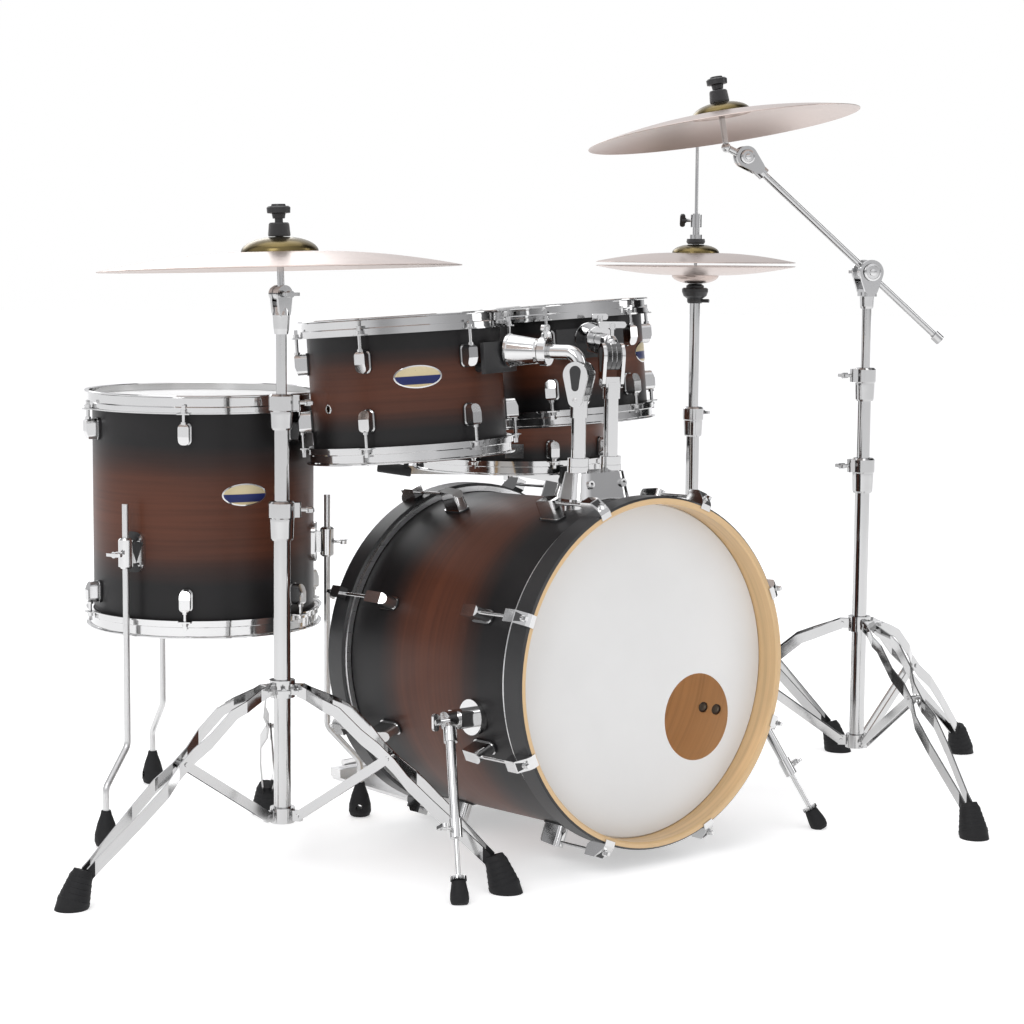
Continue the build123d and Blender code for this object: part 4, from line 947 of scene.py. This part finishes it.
def paint_seat(node, matrix, edge, sizes):
    """Black felts, sleeve and knob above and below a cymbal's bell."""
    measure = radial(matrix)
    bell = edge + sizes["rise"] + sizes["bell_height"]
    low, high, knob = -0.0119, 0.0225, 0.0222
    near = KNOB_REACH
    paint_faces(node, FELT, lambda c, n: low < measure(c)[1] - bell < high and measure(c)[0] < near)
    paint_faces(node, BLACK, lambda c, n: measure(c)[1] - bell >= knob and measure(c)[0] < near)


def paint_hats():
    """The hi-hat's felts, clutch and seat cup."""
    measure = upright(HATS_AT)
    rod, sleeve, cup = 0.0065, 0.0135, 0.0252
    paint_faces("hihat_pull_rod", FELT,
                lambda c, n: -0.0112 < c.z - HAT_BELL < 0.0122 and measure(c)[0] > rod)
    paint_faces("hihat_pull_rod", BLACK, lambda c, n: measure(c)[0] > sleeve and c.z > HAT_BELL + 0.013)
    paint_faces("hihat_upper_tube", BLACK, lambda c, n: c.z > HAT_SEAT and measure(c)[0] < cup)


def paint_tom_mount(tom):
    """Black between a rack tom's shell and the outer plate of its mount."""
    measure = radial(DRUMS[tom][0])
    inner, outer = RADII[tom] + MOUNT_GAP[0], RADII[tom] + MOUNT_GAP[1]
    paint_faces(f"{tom}_mount", BLACK, lambda c, n: inner < measure(c)[0] < outer)


def paint_gaskets():
    """Black under the floor tom's leg brackets."""
    measure = radial(DRUMS["floor_tom"][0])
    low, high = BRACKET_GASKET
    paint_faces("floor_tom_leg_brackets", BLACK, lambda c, n: low < measure(c)[0] < high)


def paint_snare_stand():
    """Rubber grips on the basket, and the snare wires' coils."""
    measure = upright(SNARE_AT)
    paint_faces("snare_basket", RUBBER, lambda c, n: measure(c)[0] > GRIP_REACH)
    wires = frame_of(SNARE_AT, (0, 0), SNARE_WIRES_AT)
    NODES["snare_wires"].data.materials[0] = coiled("snare_coils", wires)


# ---- the whole scene ------------------------------------------------------------------------------
add_camera()
add_floor()

CHROME = chrome()
STAND_CHROME = chrome("stand_chrome", 0.55, 0.08)
STEEL = brushed()
ALUMINIUM = brushed("satin_aluminium", 0.72)
RUBBER = rubber()
FELT = felt()
FILM = head_film()
BLACK = black_plastic()
DARK_STEEL = brushed("dark_steel", 0.16)
FLESH_HOOP = brushed("flesh_hoop", 0.86)

# each drum's frame, with Z along its shell, and half its depth
DRUMS = {name: (frame_of(middle_of(f"{name}_shell"), lean), depth / 2 * INCH)
         for name, (diameter, depth, lean) in DRUM_SIZES.items()}
RIDE_AT = Vector(JOINTS["ride_tilt"]["pos_m"])
BOOM_AT = Vector(JOINTS["boom_swing"]["pos_m"])
HATS_AT = middle_of("hihat_top_cymbal")
SNARE_AT = middle_of("snare_shell")
ride_frame = frame_of(RIDE_AT, RIDE_LEAN)
crash_frame = frame_of(JOINTS["crash_spin"]["pos_m"], CRASH_LEAN)
add_light()

paint_plain()
for name in DRUMS:
    paint_drum(name)
paint_bass_hoops()
paint_feet("ride_stand_base", RIDE_AT)
paint_feet("boom_stand_base", BOOM_AT)
paint_feet("hihat_stand_base", HATS_AT)
paint_feet("snare_stand", SNARE_AT)
for number in (1, 2, 3):
    paint_tom_leg(f"floor_tom_leg_{number}")
for side in ("left", "right"):
    paint_spur(side)
paint_seat("ride_tilter", ride_frame, RIDE_EDGE, RIDE)
paint_seat("crash_tilter", crash_frame, CRASH_EDGE, CRASH)
paint_hats()
for tom in ("tom12", "tom10"):
    paint_tom_mount(tom)
paint_gaskets()
paint_snare_stand()
for name in ("pedal_base", "pedal_footboard", "hihat_pedal"):
    NODES[name].data.materials[0] = ALUMINIUM

ride_rim = ride_frame @ Matrix.Translation((0, 0, RIDE_EDGE))
crash_rim = crash_frame @ Matrix.Translation((0, 0, CRASH_EDGE))
upper_rim = Matrix.Translation((HATS_AT.x, HATS_AT.y, UPPER_HAT_EDGE))
lower_rim = Matrix.Translation((HATS_AT.x, HATS_AT.y, LOWER_HAT_EDGE)) @ Matrix.Rotation(pi, 4, "X")
add_cymbal("ride_cymbal_plate", "ride_cymbal", RIDE, ride_rim, "ride_plate")
add_cymbal("crash_cymbal_plate", "crash_cymbal", CRASH, crash_rim, "crash_plate")
add_cymbal("hihat_upper_plate", "hihat_top_cymbal", HAT, upper_rim, "hihat_top")
add_cymbal("hihat_lower_plate", "hihat_bottom_cymbal", HAT, lower_rim, "hihat_seat", dark_bell=False)

add_badge("tom12", -120.0, 0.018, "tom12")
add_badge("tom10", -52.5, 0.010, "tom10")
add_badge("floor_tom", -101.0, 0.034, "kit_base")
add_grommet("tom12", -180.0, VENT_HEIGHT, "tom12")
add_grommet("snare", -150.0, VENT_HEIGHT, "snare")
add_tilter_trim("tom12", "tom12", "tom12_holder")
add_tilter_trim("tom10", "tom10", "tom10_holder")
add_caps()
add_pedal_spring()
add_inner_bolts()
add_claw_painted_pocket_shade()
